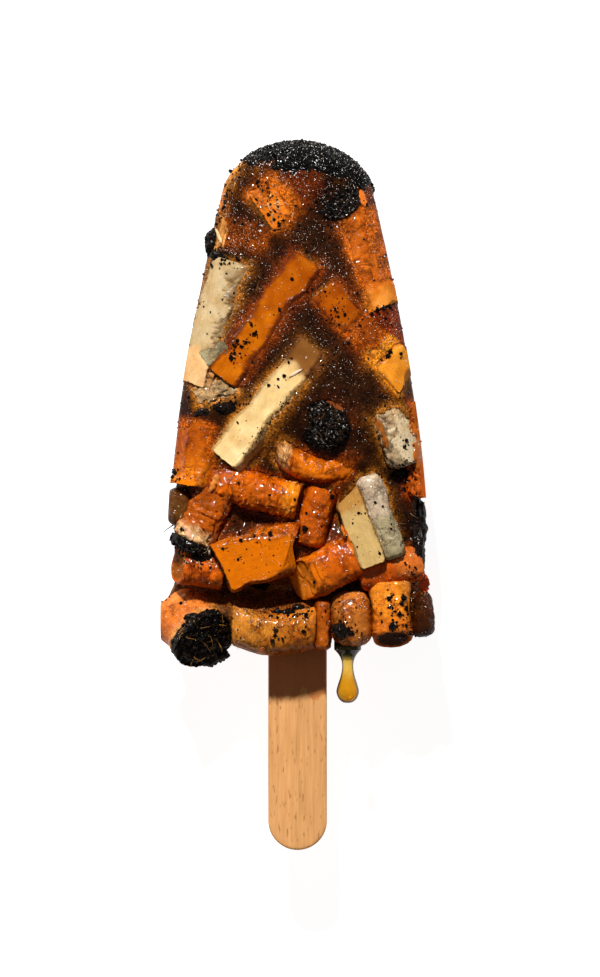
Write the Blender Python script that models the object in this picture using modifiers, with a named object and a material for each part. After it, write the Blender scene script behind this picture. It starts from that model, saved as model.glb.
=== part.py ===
"""A moulded ice pop of dark frozen liquid packed with cigarette butts, on a flat wooden stick.

It lies on its flat back. +Y runs along the pop to its tip, +Z is up, out of the shown face.
"""

import math
from collections import namedtuple

import bmesh
import bpy
from mathutils import Matrix, Vector, noise

# Sizes below are in millimetres. A station is a distance from the tip, measured towards the stick.
MM = 0.001
TOUCH_GAP = 0.3
MERGE = 1e-7
WELD = 1e-4

LENGTH = 121.0
TIP_Y = LENGTH / 2
ICE_END = 84.2
STICK_LENGTH = 84.0
STICK_WIDTH = 10.0
STICK_THICKNESS = 2.0
STICK_EDGE = 0.35
STICK_END_STEPS = 10

# The mould: half its width at the open end, how much narrower it is at the tip, and its thickness.
FULL_HALF_WIDTH = 22.0
NARROWING = 8.0
WIDEST_STATION = 65.0
TAPER_RUN = 52.0
CAP_DEPTH = 8.5
CAP_ROUNDNESS = 2.2
FLARE = 1.3
FLARE_START, FLARE_END = 75.0, 79.0
TIP_THICKNESS = 15.5
THICKENING = 0.1
EDGE_RADIUS = 5.0
TIP_START = 0.12

# The ice: how far it lies below the mould's front, and where the melted lower half sinks
# away, later on the left.
ICE_BELOW_FRONT = 0.35
MELT_START, MELT_END, MELT_DEPTH = 47.0, 58.0, 3.0
MELT_LATE_LEFT, LEFT_FROM, LEFT_TO = 5.0, -4.0, -12.0
TRENCH_STATION, TRENCH_HALF_WIDTH, TRENCH_DEPTH = 76.3, 2.9, 5.2
SIDE_MELT = 1.1
RIPPLE_DEPTH, RIPPLE_RATE = 0.7, 0.16
END_ROUNDING = 2.6
ICE_SEGMENTS, ICE_ROWS = 32, 26
ROW_CROWDING = 1.25

# The ash cap ends on a slanting plane, deeper on the right.
ASH_STATION, ASH_SLANT = 6.2, 0.22
ASH_RELIEF, ASH_RATE = 0.45, 0.55
ASH_BLOCK = 60.0

# The butts.
SIDES = 11
BAND_LENGTH = 6.0
FLAT_ENOUGH = math.radians(0.5)
CRUMPLE, CRUMPLE_RATE, CRUMPLE_ALONG = 0.13, 0.9, 0.22
SEED_STEP = 7.3
BACK_SEED = 100

DRIP_X, DRIP_TOP_Y, DRIP_Z = 8.5, -26.1, 18.4
DRIP_PROFILE = ((9.2, 0.0), (9.0, 0.9), (8.3, 1.6), (7.2, 1.92), (6.0, 1.65), (4.6, 1.2),
                (3.2, 0.95), (2.0, 1.05), (1.0, 1.5), (0.3, 2.1), (0.0, 2.3), (0.0, 0.0))
DRIP_STEPS = 14
DRIP_MERGE = 1e-5

SHARP_ANGLE = math.radians(38)
STICK_RIM_ANGLE = math.radians(60)

ORANGE = (0.62, 0.16, 0.012)
CREAM = (0.80, 0.58, 0.28)
GREY = (0.36, 0.29, 0.17)
BROWN = (0.26, 0.07, 0.01)
BURNT = (0.010, 0.009, 0.007)
DARK_ICE = (0.045, 0.010, 0.004)
AMBER = (0.62, 0.30, 0.03)
BEECH = (0.66, 0.36, 0.14)

# A butt lies at (x, y), its axis turned from +X, its far end dipping into the ice. Its top stands
# proud of the mould's face before the mould presses it flat. Square is its section's squareness,
# bend its sideways bow, lean how far its top is pushed to its right, and ember the length of burnt
# end at its near end.
Butt = namedtuple("Butt", "name x y turn length width thick top square dip bend lean ember colour",
                  defaults=(2.4, 0.0, 0.0, 0.0, 0.0, ORANGE))

# Where two butts cross, the one named first stays whole.
FRONT_BUTTS = (
    Butt("butt_grey_scrap", -13.9, 24.0, 35.0, 4.6, 3.6, 2.8, 0.1, 3.0, colour=GREY),
    Butt("butt_bright", -5.4, -10.2, 15.5, 17.6, 9.0, 8.6, 1.8, 2.8, dip=6.0),
    Butt("butt_cream_long", -4.4, 15.2, -128.5, 24.5, 7.1, 7.2, 0.55, lean=1.0, colour=CREAM),
    Butt("butt_long_diagonal", -4.9, 29.4, -126.0, 24.8, 8.1, 8.0, 0.45, lean=1.1),
    Butt("butt_cream_stub", 10.4, -5.4, -69.5, 13.8, 5.1, 6.0, 0.6, 3.6, colour=CREAM),
    Butt("butt_grey_stub", 14.1, -3.7, -71.0, 14.8, 4.6, 5.2, 0.1, 3.0, colour=GREY),
    Butt("butt_short_diagonal", 11.3, 27.3, -47.0, 20.4, 7.1, 7.0, 0.5),
    Butt("butt_middle_burnt", 5.0, 12.4, 45.0, 10.0, 8.4, 8.2, 0.7, dip=78.0, ember=2.4),
    Butt("butt_tip_burnt", 7.1, 50.1, -50.0, 8.0, 7.3, 7.1, 0.6, dip=80.0, ember=2.2),
    Butt("butt_corner_burnt", -17.7, -22.6, 130.0, 9.4, 10.6, 10.2, -2.0, dip=45.0, ember=2.2),
    Butt("butt_tip_crushed", -1.4, 51.3, 34.0, 12.0, 9.4, 5.0, 0.7, 3.2, dip=4.0),
    Butt("butt_grey_wrinkled", -14.2, 29.1, -106.3, 22.0, 7.5, 7.6, 0.4, 2.8, colour=CREAM),
    Butt("butt_middle_left", -6.4, 0.5, -14.0, 14.5, 6.8, 7.0, -0.2),
    Butt("butt_lower_middle", 4.5, -12.8, 25.0, 11.5, 7.6, 7.6, 0.7, 2.8, dip=4.0),
    Butt("butt_middle_small", 3.0, -3.8, -104.3, 10.0, 5.6, 6.5, -0.8),
    Butt("butt_bent", 2.8, 5.7, -13.0, 13.8, 5.4, 6.2, -0.4, dip=9.0, bend=-2.5),
    Butt("butt_left_frayed", -17.4, 6.8, 82.0, 10.5, 8.0, 7.8, 0.2),
    Butt("butt_left_wrinkled", -15.3, -3.0, 64.0, 14.4, 7.8, 7.4, -0.6, ember=1.8),
    Butt("butt_silver_crumpled", 16.7, 10.0, -68.6, 10.8, 6.8, 6.6, 0.4, 3.0, colour=GREY),
    Butt("butt_right_upper", 12.0, 39.8, -69.0, 17.0, 7.8, 7.6, 0.6, dip=-2.0),
    Butt("butt_right_edge", 16.0, 27.2, -69.0, 9.6, 6.2, 6.6, 0.3),
    Butt("butt_under_stubs", 15.8, -12.4, 11.0, 11.0, 6.4, 7.0, -1.8),
    Butt("butt_bottom_cut", 15.9, -20.4, -86.6, 11.4, 6.9, 7.0, -1.6),
    Butt("butt_bottom_wide", -4.0, -22.8, -1.4, 14.1, 7.4, 8.0, -1.6, 2.8, bend=-1.4),
    Butt("butt_bottom_bulge", 9.1, -21.0, -88.0, 9.4, 7.4, 8.0, -1.4, 2.0),
    Butt("butt_bottom_thin", 4.3, -22.0, -90.0, 8.4, 3.2, 6.4, -2.0),
    Butt("butt_bottom_edge", 20.9, -20.2, -84.8, 7.8, 4.6, 7.4, -3.0, colour=BROWN),
    Butt("butt_left_cut", -17.0, -12.4, -9.1, 9.2, 6.2, 6.6, -2.0),
    Butt("butt_left_lump", -20.0, -2.0, -90.0, 6.6, 4.4, 6.2, -2.5, colour=BROWN),
    Butt("butt_edge_strip", 20.0, 7.6, -82.5, 16.4, 4.8, 6.4, -2.0),
    Butt("butt_grey_crumple", -13.6, 17.7, 21.5, 7.6, 5.2, 4.8, -0.2, 3.0, colour=GREY),
    Butt("butt_rim_frayed", -9.8, 44.1, -11.0, 9.4, 6.4, 6.4, 0.2),
    Butt("butt_rim_paper", -10.2, 51.9, -117.6, 9.4, 6.0, 6.6, -2.5, colour=CREAM),
)

# The same on the flat back, where top is how far a butt stands proud of the back.
BACK_BUTTS = (
    Butt("butt_back_1", -3.0, 50.5, 20.0, 12.0, 7.5, 6.4, 0.3),
    Butt("butt_back_2", 4.5, 41.0, -55.0, 15.0, 7.8, 6.6, 0.5),
    Butt("butt_back_3", -7.5, 38.0, 75.0, 14.0, 7.6, 6.6, 0.4, colour=CREAM),
    Butt("butt_back_4", 10.0, 29.5, 62.0, 16.0, 7.6, 6.8, 0.3),
    Butt("butt_back_5", -2.5, 26.5, -38.0, 20.0, 7.9, 6.8, 0.6),
    Butt("butt_back_6", -13.0, 20.0, 80.0, 15.0, 7.4, 6.8, 0.2, colour=GREY),
    Butt("butt_back_7", 5.0, 14.5, 25.0, 20.0, 7.8, 7.0, 0.6),
    Butt("butt_back_8", 15.0, 5.0, -75.0, 16.0, 7.4, 7.0, 0.3, colour=CREAM),
    Butt("butt_back_9", -9.0, 6.0, -30.0, 18.0, 7.8, 7.0, 0.5),
    Butt("butt_back_10", 5.0, 0.5, -62.0, 15.0, 7.8, 7.0, 0.3),
    Butt("butt_back_11", -14.5, -5.5, 65.0, 15.0, 7.7, 7.2, 0.4),
    Butt("butt_back_12", -3.0, -9.5, 12.0, 17.0, 8.0, 7.2, 0.6, colour=CREAM),
    Butt("butt_back_13", 15.0, -13.5, -80.0, 16.0, 7.8, 7.2, 0.4),
    Butt("butt_back_14", 2.5, -19.5, -18.0, 18.0, 8.0, 7.2, 0.5),
    Butt("butt_back_15", -14.0, -18.5, 35.0, 14.0, 7.8, 7.2, 0.3, colour=GREY),
)


def clear_scene():
    for obj in list(bpy.data.objects):
        bpy.data.objects.remove(obj, do_unlink=True)


def new_collection(name):
    made = bpy.data.collections.new(name)
    bpy.context.scene.collection.children.link(made)
    return made


def material(name, colour, roughness):
    made = bpy.data.materials.get(name) or bpy.data.materials.new(name)
    made.use_nodes = True
    shader = made.node_tree.nodes["Principled BSDF"]
    shader.inputs["Base Color"].default_value = (*colour, 1.0)
    shader.inputs["Roughness"].default_value = roughness
    shader.inputs["Metallic"].default_value = 0.0
    return made


def paper_material(colour):
    names = {ORANGE: "cork_paper", CREAM: "cream_paper", GREY: "grey_paper", BROWN: "wet_brown_paper"}
    return material(names[colour], colour, 0.45)


def new_object(name, bm, collection, look):
    """An object from a mesh in millimetres, its faces turned outwards."""
    bmesh.ops.scale(bm, vec=(MM, MM, MM), verts=bm.verts)
    bmesh.ops.triangulate(bm, faces=bm.faces)
    bmesh.ops.recalc_face_normals(bm, faces=bm.faces)
    mesh = bpy.data.meshes.new(name)
    bm.to_mesh(mesh)
    bm.free()
    obj = bpy.data.objects.new(name, mesh)
    obj.data.materials.append(look)
    collection.objects.link(obj)
    return obj


def smooth_step(low, high, value):
    share = min(1.0, max(0.0, (value - low) / (high - low)))
    return share * share * (3.0 - 2.0 * share)


def half_width(station):
    """Half the mould's width: a straight taper that fills out, under a round cap at the tip."""
    taper = max(0.0, WIDEST_STATION - station) / TAPER_RUN
    width = FULL_HALF_WIDTH - NARROWING * taper ** 1.5
    if station < CAP_DEPTH:
        rise = (CAP_DEPTH - max(station, TIP_START)) / CAP_DEPTH
        width *= (1.0 - rise * rise) ** (1.0 / CAP_ROUNDNESS)
    return width + FLARE * smooth_step(FLARE_START, FLARE_END, station)


def face_heights(station):
    """The heights of the mould's back and front, drawn together where the tip's edge is rounded."""
    inset = 0.0
    if station < EDGE_RADIUS:
        fall = EDGE_RADIUS - max(station, TIP_START)
        inset = EDGE_RADIUS - math.sqrt(EDGE_RADIUS ** 2 - fall ** 2)
    return inset, TIP_THICKNESS + THICKENING * max(station, 0.0) - inset


def press_into_mould(point, spare):
    """Moves a point that stands out of the mould, made larger by spare, back to its wall."""
    x, y, z = point
    station = max(TIP_Y - y, 0.0)
    low, high = face_heights(station)
    wide = half_width(station) + spare
    middle = (low + high) / 2
    tall = (high - low) / 2 + spare
    radius = min(EDGE_RADIUS, wide, tall)
    x = min(wide, max(-wide, x))
    z = min(middle + tall, max(middle - tall, z))
    over_x = abs(x) - (wide - radius)
    over_z = abs(z - middle) - (tall - radius)
    reach = math.hypot(over_x, over_z)
    if over_x > 0.0 and over_z > 0.0 and reach > radius:
        x = math.copysign(wide - radius + over_x * radius / reach, x)
        z = middle + math.copysign(tall - radius + over_z * radius / reach, z - middle)
    return Vector((x, min(y, TIP_Y), z))


def unit_tube(sides, bands):
    """A closed cylinder of radius 1 from z -0.5 to 0.5, with rings between its ends."""
    bm = bmesh.new()
    bmesh.ops.create_cone(bm, cap_ends=True, segments=sides, radius1=1.0, radius2=1.0, depth=1.0)
    upright = [edge for edge in bm.edges if abs(edge.verts[0].co.z - edge.verts[1].co.z) > 0.5]
    if bands > 1:
        bmesh.ops.subdivide_edges(bm, edges=upright, cuts=bands - 1)
    return bm


def section_point(share, wide, tall):
    """A point of a rounded rectangle, share of the way round from the middle of its right side."""
    radius = min(EDGE_RADIUS, wide, tall) * 0.999
    side, face, arc = 2 * (tall - radius), 2 * (wide - radius), math.pi * radius / 2
    walk = (share % 1.0) * (2 * side + 2 * face + 4 * arc)
    if walk <= side / 2:
        return wide, walk
    walk -= side / 2
    for sign_x, sign_z, start, run in ((1, 1, 0, face), (-1, 1, 90, side), (-1, -1, 180, face),
                                       (1, -1, 270, side)):
        turn = math.radians(start) + min(walk, arc) / radius
        x = sign_x * (wide - radius) + radius * math.cos(turn)
        z = sign_z * (tall - radius) + radius * math.sin(turn)
        walk -= arc
        if walk <= run:
            heading = math.radians(start + 180)
            straight = max(walk, 0.0)
            return x + straight * math.cos(heading), z + straight * math.sin(heading)
        walk -= run
    return wide, 0.0


def melt_depth(station, x):
    """How far the ice lies below the mould's front."""
    left = smooth_step(-LEFT_FROM, -LEFT_TO, -x)
    lower = smooth_step(MELT_START, MELT_END, station - MELT_LATE_LEFT * left)
    trench = math.exp(-((station - TRENCH_STATION) / TRENCH_HALF_WIDTH) ** 2)
    ripple = noise.noise(Vector((x * RIPPLE_RATE, station * RIPPLE_RATE, 4.0)))
    return ICE_BELOW_FRONT + lower * (MELT_DEPTH + RIPPLE_DEPTH * ripple) + TRENCH_DEPTH * trench


def mould_body(relief, rate):
    """The filled mould down to the lower end of the ice, sunk at the front where it has melted."""
    bm = unit_tube(ICE_SEGMENTS, ICE_ROWS)
    for vertex in bm.verts:
        share = math.atan2(vertex.co.y, vertex.co.x) / (2 * math.pi)
        along = vertex.co.z + 0.5
        station = TIP_START + (ICE_END - TIP_START) * along ** ROW_CROWDING
        low, high = face_heights(station)
        wide, tall = half_width(station), (high - low) / 2
        x, z = section_point(share, wide, tall)
        over = max(0.0, station - ICE_END + END_ROUNDING)
        drawn_in = 1.0 - (END_ROUNDING - math.sqrt(END_ROUNDING ** 2 - 0.9 * over ** 2)) / wide
        sideways = 1.0 - SIDE_MELT / wide * smooth_step(MELT_START, MELT_END, station)
        rough = relief * noise.noise(Vector((x, station, z)) * rate)
        forward = max(0.0, z / tall)
        height = (low + high) / 2 + z - (melt_depth(station, x) - rough) * forward ** 0.5
        vertex.co = (x * sideways * drawn_in * (1.0 + rough / wide), TIP_Y - station, height)
    return bm


def crumpled_radius(seed, around, along):
    """The radius of a crushed butt as a share of its plain radius."""
    where = Vector((math.cos(around) * CRUMPLE_RATE, math.sin(around) * CRUMPLE_RATE,
                    along * CRUMPLE_ALONG + seed * SEED_STEP))
    return 1.0 + CRUMPLE * noise.noise(where)


def butt_axes(butt, on_back):
    """The butt's middle, and the directions along it, across it and out of it."""
    turn, dip = math.radians(butt.turn), math.radians(butt.dip)
    along = Vector((math.cos(turn) * math.cos(dip), math.sin(turn) * math.cos(dip), -math.sin(dip)))
    across = Vector((-math.sin(turn), math.cos(turn), 0.0))
    reach = butt.length / 2 * abs(math.sin(dip)) + butt.thick / 2 * math.cos(dip)
    if on_back:
        height = reach - butt.top
    else:
        height = TIP_THICKNESS + THICKENING * (TIP_Y - butt.y) + butt.top - reach
    return Vector((butt.x, butt.y, height)), along, across, along.cross(across)


def butt_shape(butt, seed, on_back, start, end, spare):
    """The stretch of a butt from start to end along its axis, made larger all round by spare."""
    middle, along, across, outward = butt_axes(butt, on_back)
    bands = max(1, round((end - start) / BAND_LENGTH))
    bm = unit_tube(SIDES, bands)
    for vertex in bm.verts:
        around = math.atan2(vertex.co.y, vertex.co.x)
        reach = start - spare + (vertex.co.z + 0.5) * (end - start + 2 * spare)
        radius = crumpled_radius(seed, around, reach)
        power = 2.0 / butt.square
        wide = math.copysign(abs(math.cos(around)) ** power, math.cos(around))
        thick = math.copysign(abs(math.sin(around)) ** power, math.sin(around))
        bow = butt.bend * (1.0 - (2.0 * reach / butt.length) ** 2) - butt.bend / 2
        side = wide * (butt.width / 2 * radius + spare) + bow - butt.lean * thick
        out = thick * (butt.thick / 2 * radius + spare)
        point = middle + along * reach + across * side + outward * out
        if not on_back:
            point.z -= THICKENING * (point.y - butt.y)
        vertex.co = press_into_mould(point, spare)
    return bm


def stick_outline(spare):
    """The stick's outline along +X: two half circles joined by straight sides."""
    half = STICK_WIDTH / 2 + spare
    run = STICK_LENGTH / 2 - STICK_WIDTH / 2
    points = []
    for side, first in ((1, -90), (-1, 90)):
        for step in range(STICK_END_STEPS + 1):
            angle = math.radians(first + 180.0 * step / STICK_END_STEPS)
            points.append((side * run + half * math.cos(angle), half * math.sin(angle)))
    return points


def stick_shape(spare):
    """A flat stick with round ends, tilted to lie half-way between the mould's faces."""
    curve = bpy.data.curves.new("stick_outline", "CURVE")
    curve.dimensions = "2D"
    curve.fill_mode = "BOTH"
    curve.extrude = STICK_THICKNESS / 2 + spare
    outline = curve.splines.new("POLY")
    points = stick_outline(spare)
    outline.points.add(len(points) - 1)
    for point, (along, across) in zip(outline.points, points):
        point.co = (along, across, 0.0, 1.0)
    outline.use_cyclic_u = True
    guide = bpy.data.objects.new("stick_outline", curve)
    bpy.context.scene.collection.objects.link(guide)
    bpy.context.view_layer.update()
    graph = bpy.context.evaluated_depsgraph_get()
    mesh = bpy.data.meshes.new_from_object(guide.evaluated_get(graph))
    bpy.data.objects.remove(guide, do_unlink=True)
    bm = bmesh.new()
    bm.from_mesh(mesh)
    bmesh.ops.remove_doubles(bm, verts=bm.verts, dist=WELD)
    if spare == 0.0:
        rims = [edge for edge in bm.edges if edge.calc_face_angle(0.0) > STICK_RIM_ANGLE]
        bmesh.ops.bevel(bm, geom=rims, offset=STICK_EDGE, segments=1, affect="EDGES")
    middle_y = STICK_LENGTH / 2 - TIP_Y
    slope = math.atan(THICKENING / 2)
    rise = (TIP_THICKNESS + THICKENING * (TIP_Y - middle_y)) / 2
    place = Matrix.Translation((0, middle_y, rise)) @ Matrix.Rotation(-slope, 4, "X")
    bm.transform(place @ Matrix.Rotation(math.radians(90), 4, "Z"))
    return bm


def drip_object(collection):
    """A hanging drop: a turned profile whose axis runs along -Y from the ice."""
    mesh = bpy.data.meshes.new("drip")
    points = [(radius * MM, 0.0, height * MM) for height, radius in DRIP_PROFILE]
    mesh.from_pydata(points, [(i, i + 1) for i in range(len(points) - 1)], [])
    drop = bpy.data.objects.new("drip", mesh)
    drop.data.materials.append(material("amber_melt", AMBER, 0.1))
    collection.objects.link(drop)
    drop.location = (DRIP_X * MM, DRIP_TOP_Y * MM, DRIP_Z * MM)
    drop.rotation_euler = (math.radians(90), 0.0, 0.0)
    screw = drop.modifiers.new("turn", "SCREW")
    screw.steps = screw.render_steps = DRIP_STEPS
    screw.use_merge_vertices = True
    screw.merge_threshold = DRIP_MERGE
    screw.use_smooth_shade = True
    return drop


def slab(station, spare):
    """A block whose lower side is the slanting end of the ash cap, moved down by spare."""
    bm = bmesh.new()
    bmesh.ops.create_cube(bm, size=ASH_BLOCK)
    lean = Matrix.Rotation(-math.atan(ASH_SLANT), 4, "Z")
    middle = Matrix.Translation((0, TIP_Y - station - spare, TIP_THICKNESS / 2))
    bm.transform(middle @ lean @ Matrix.Translation((0, ASH_BLOCK / 2, 0)))
    return bm


def bounds(obj):
    """Lowest and highest corners in world space. Objects here keep their place in their mesh."""
    points = [obj.matrix_world @ vertex.co for vertex in obj.data.vertices]
    low = Vector([min(point[axis] for point in points) for axis in range(3)])
    high = Vector([max(point[axis] for point in points) for axis in range(3)])
    return low, high


def meet(first, second):
    low_a, high_a = bounds(first)
    low_b, high_b = bounds(second)
    return all(low_a[i] < high_b[i] and low_b[i] < high_a[i] for i in range(3))


def islands(bm):
    """The mesh's separate bodies, each as a set of faces."""
    left = set(bm.faces)
    while left:
        found, rim = set(), [left.pop()]
        while rim:
            face = rim.pop()
            found.add(face)
            near = {other for edge in face.edges for other in edge.link_faces} & left
            left -= near
            rim.extend(near)
        yield found


def signed_volume(faces):
    return sum(face.verts[0].co.dot(face.verts[1].co.cross(face.verts[2].co)) for face in faces) / 6


def carve(obj, cutters, operation="DIFFERENCE", solver="EXACT"):
    """Cuts obj with each cutter that reaches it, and keeps its largest piece."""
    for cutter in cutters:
        if operation == "DIFFERENCE" and not meet(obj, cutter):
            continue
        cut = obj.modifiers.new(cutter.name, "BOOLEAN")
        cut.operation = operation
        cut.object = cutter
        cut.solver = solver
    if not obj.modifiers:
        return
    bpy.context.view_layer.update()
    graph = bpy.context.evaluated_depsgraph_get()
    mesh = bpy.data.meshes.new_from_object(obj.evaluated_get(graph))
    obj.modifiers.clear()
    bm = bmesh.new()
    bm.from_mesh(mesh)
    bmesh.ops.remove_doubles(bm, verts=bm.verts, dist=MERGE)
    bmesh.ops.dissolve_degenerate(bm, edges=bm.edges, dist=MERGE)
    bmesh.ops.dissolve_limit(bm, angle_limit=FLAT_ENOUGH, verts=bm.verts, edges=bm.edges)
    bmesh.ops.triangulate(bm, faces=bm.faces)
    pieces = sorted(islands(bm), key=signed_volume)
    loose = [face for piece in pieces[:-1] for face in piece]
    bmesh.ops.delete(bm, geom=loose, context="FACES")
    bm.to_mesh(mesh)
    bm.free()
    obj.data = mesh


def shade(obj):
    obj.data.shade_smooth()
    obj.data.set_sharp_from_angle(angle=SHARP_ANGLE)


def make_butts(butts, on_back, parts, cutters):
    """Each butt, and each burnt end, with the larger copies that cut what lies below them."""
    made = []
    for number, butt in enumerate(butts):
        seed = number + (BACK_SEED if on_back else 0)
        start, end = -butt.length / 2, butt.length / 2
        paper = paper_material(butt.colour)
        stretches = [(butt.name, start + butt.ember, end, paper)]
        if butt.ember:
            burnt = material("burnt_ash", BURNT, 0.9)
            stretches.append((butt.name + "_ember", start, start + butt.ember - TOUCH_GAP, burnt))
        bodies, rooms = [], []
        for name, low, high, look in stretches:
            shape = butt_shape(butt, seed, on_back, low, high, 0.0)
            bodies.append(new_object(name, shape, parts, look))
            room = butt_shape(butt, seed, on_back, low, high, TOUCH_GAP)
            rooms.append(new_object(name + "_room", room, cutters, look))
        made.append((bodies, rooms))
    return made


def main():
    clear_scene()
    parts = new_collection("ice_pop")
    cutters = new_collection("cutters")

    wood = material("beech", BEECH, 0.6)
    stick = new_object("stick", stick_shape(0.0), parts, wood)
    stick_room = new_object("stick_room", stick_shape(TOUCH_GAP), cutters, wood)
    drip_object(parts)

    butts = make_butts(FRONT_BUTTS, False, parts, cutters)
    butts += make_butts(BACK_BUTTS, True, parts, cutters)
    rooms = [stick_room]
    for bodies, own_rooms in butts:
        for body in bodies:
            carve(body, rooms)
            shade(body)
        rooms += own_rooms

    dark = material("dark_ice", DARK_ICE, 0.2)
    black = material("ash", BURNT, 0.9)
    ash = new_object("ash_tip", mould_body(ASH_RELIEF, ASH_RATE), parts, black)
    ash_block = new_object("ash_block", slab(ASH_STATION, 0.0), cutters, black)
    carve(ash, [ash_block], "INTERSECT")
    carve(ash, rooms)
    shade(ash)
    ice = new_object("ice", mould_body(0.0, ASH_RATE), parts, dark)
    ice_block = new_object("ice_block", slab(ASH_STATION, TOUCH_GAP), cutters, black)
    carve(ice, [ice_block])
    carve(ice, rooms, solver="MANIFOLD")
    shade(ice)
    shade(stick)

    for cutter in list(cutters.objects):
        bpy.data.objects.remove(cutter, do_unlink=True)
    bpy.data.collections.remove(cutters)


main()
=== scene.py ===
"""An ice pop of dark frozen liquid and wet cigarette butts, with ash, frost, a stick and a drip.

Sizes are in millimetres until a mesh is made. A station is a distance from the tip.
"""

import math
from collections import namedtuple

import bmesh
import bpy
import numpy as np
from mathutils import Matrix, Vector, noise
from mathutils.bvhtree import BVHTree


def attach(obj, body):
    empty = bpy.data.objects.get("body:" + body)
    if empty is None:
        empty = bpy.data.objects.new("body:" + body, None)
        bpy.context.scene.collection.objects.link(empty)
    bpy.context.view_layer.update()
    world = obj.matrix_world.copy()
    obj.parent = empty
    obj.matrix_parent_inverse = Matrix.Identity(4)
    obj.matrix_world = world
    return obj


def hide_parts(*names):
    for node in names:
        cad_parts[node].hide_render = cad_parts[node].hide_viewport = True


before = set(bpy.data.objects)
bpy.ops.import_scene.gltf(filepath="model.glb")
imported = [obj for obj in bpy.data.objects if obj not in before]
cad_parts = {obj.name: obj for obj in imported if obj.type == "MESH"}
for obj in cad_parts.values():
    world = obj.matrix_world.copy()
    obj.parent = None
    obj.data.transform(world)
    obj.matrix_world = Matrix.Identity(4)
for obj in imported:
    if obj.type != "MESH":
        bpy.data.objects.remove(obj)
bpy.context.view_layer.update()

MM = 0.001
SEED = 20261

# The mould, as in the model.
TIP_Y = 60.5
ICE_END = 84.2
STICK_LENGTH, STICK_WIDTH, STICK_THICKNESS = 84.0, 10.0, 2.0
FULL_HALF_WIDTH = 22.0
NARROWING = 8.0
WIDEST_STATION = 65.0
TAPER_RUN = 52.0
CAP_DEPTH = 8.5
CAP_ROUNDNESS = 2.2
FLARE = 1.3
FLARE_START, FLARE_END = 75.0, 79.0
TIP_THICKNESS = 15.5
THICKENING = 0.1
EDGE_RADIUS = 5.0
TIP_START = 0.12
ICE_BELOW_FRONT = 0.35
MELT_START, MELT_END, MELT_DEPTH = 47.0, 58.0, 3.0
MELT_LATE_LEFT, LEFT_FROM, LEFT_TO = 5.0, -4.0, -12.0
TRENCH_STATION, TRENCH_HALF_WIDTH, TRENCH_DEPTH = 76.3, 2.9, 5.2
SIDE_MELT = 1.1
RIPPLE_DEPTH, RIPPLE_RATE = 0.7, 0.16
END_ROUNDING = 2.6
ROW_CROWDING = 1.25
ASH_STATION, ASH_SLANT = 6.2, 0.22
CRUMPLE, CRUMPLE_RATE, CRUMPLE_ALONG = 0.13, 0.9, 0.22
SEED_STEP = 7.3
BACK_SEED = 100
TOUCH_GAP = 0.3
DRIP_X, DRIP_TOP_Y, DRIP_Z = 8.5, -26.1, 18.4
DRIP_PROFILE = ((9.2, 0.0), (9.0, 0.9), (8.3, 1.6), (7.2, 1.92), (6.0, 1.65), (4.6, 1.2),
                (3.2, 0.95), (2.0, 1.05), (1.0, 1.5), (0.3, 2.1), (0.0, 2.3), (0.0, 0.0))
DRIP_ROOT = (-1.6, 2.3)

# How finely the pieces are drawn.
BUTT_SIDES, BUTT_STEP = 72, 0.34
EMBER_SIDES, EMBER_STEP = 96, 0.22
ICE_SEGMENTS, ICE_ROWS = 330, 285
ASH_SEGMENTS, ASH_ROWS = 220, 44

Butt = namedtuple("Butt", "name x y turn length width thick top square dip bend lean ember",
                  defaults=(2.4, 0.0, 0.0, 0.0, 0.0))

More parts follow.
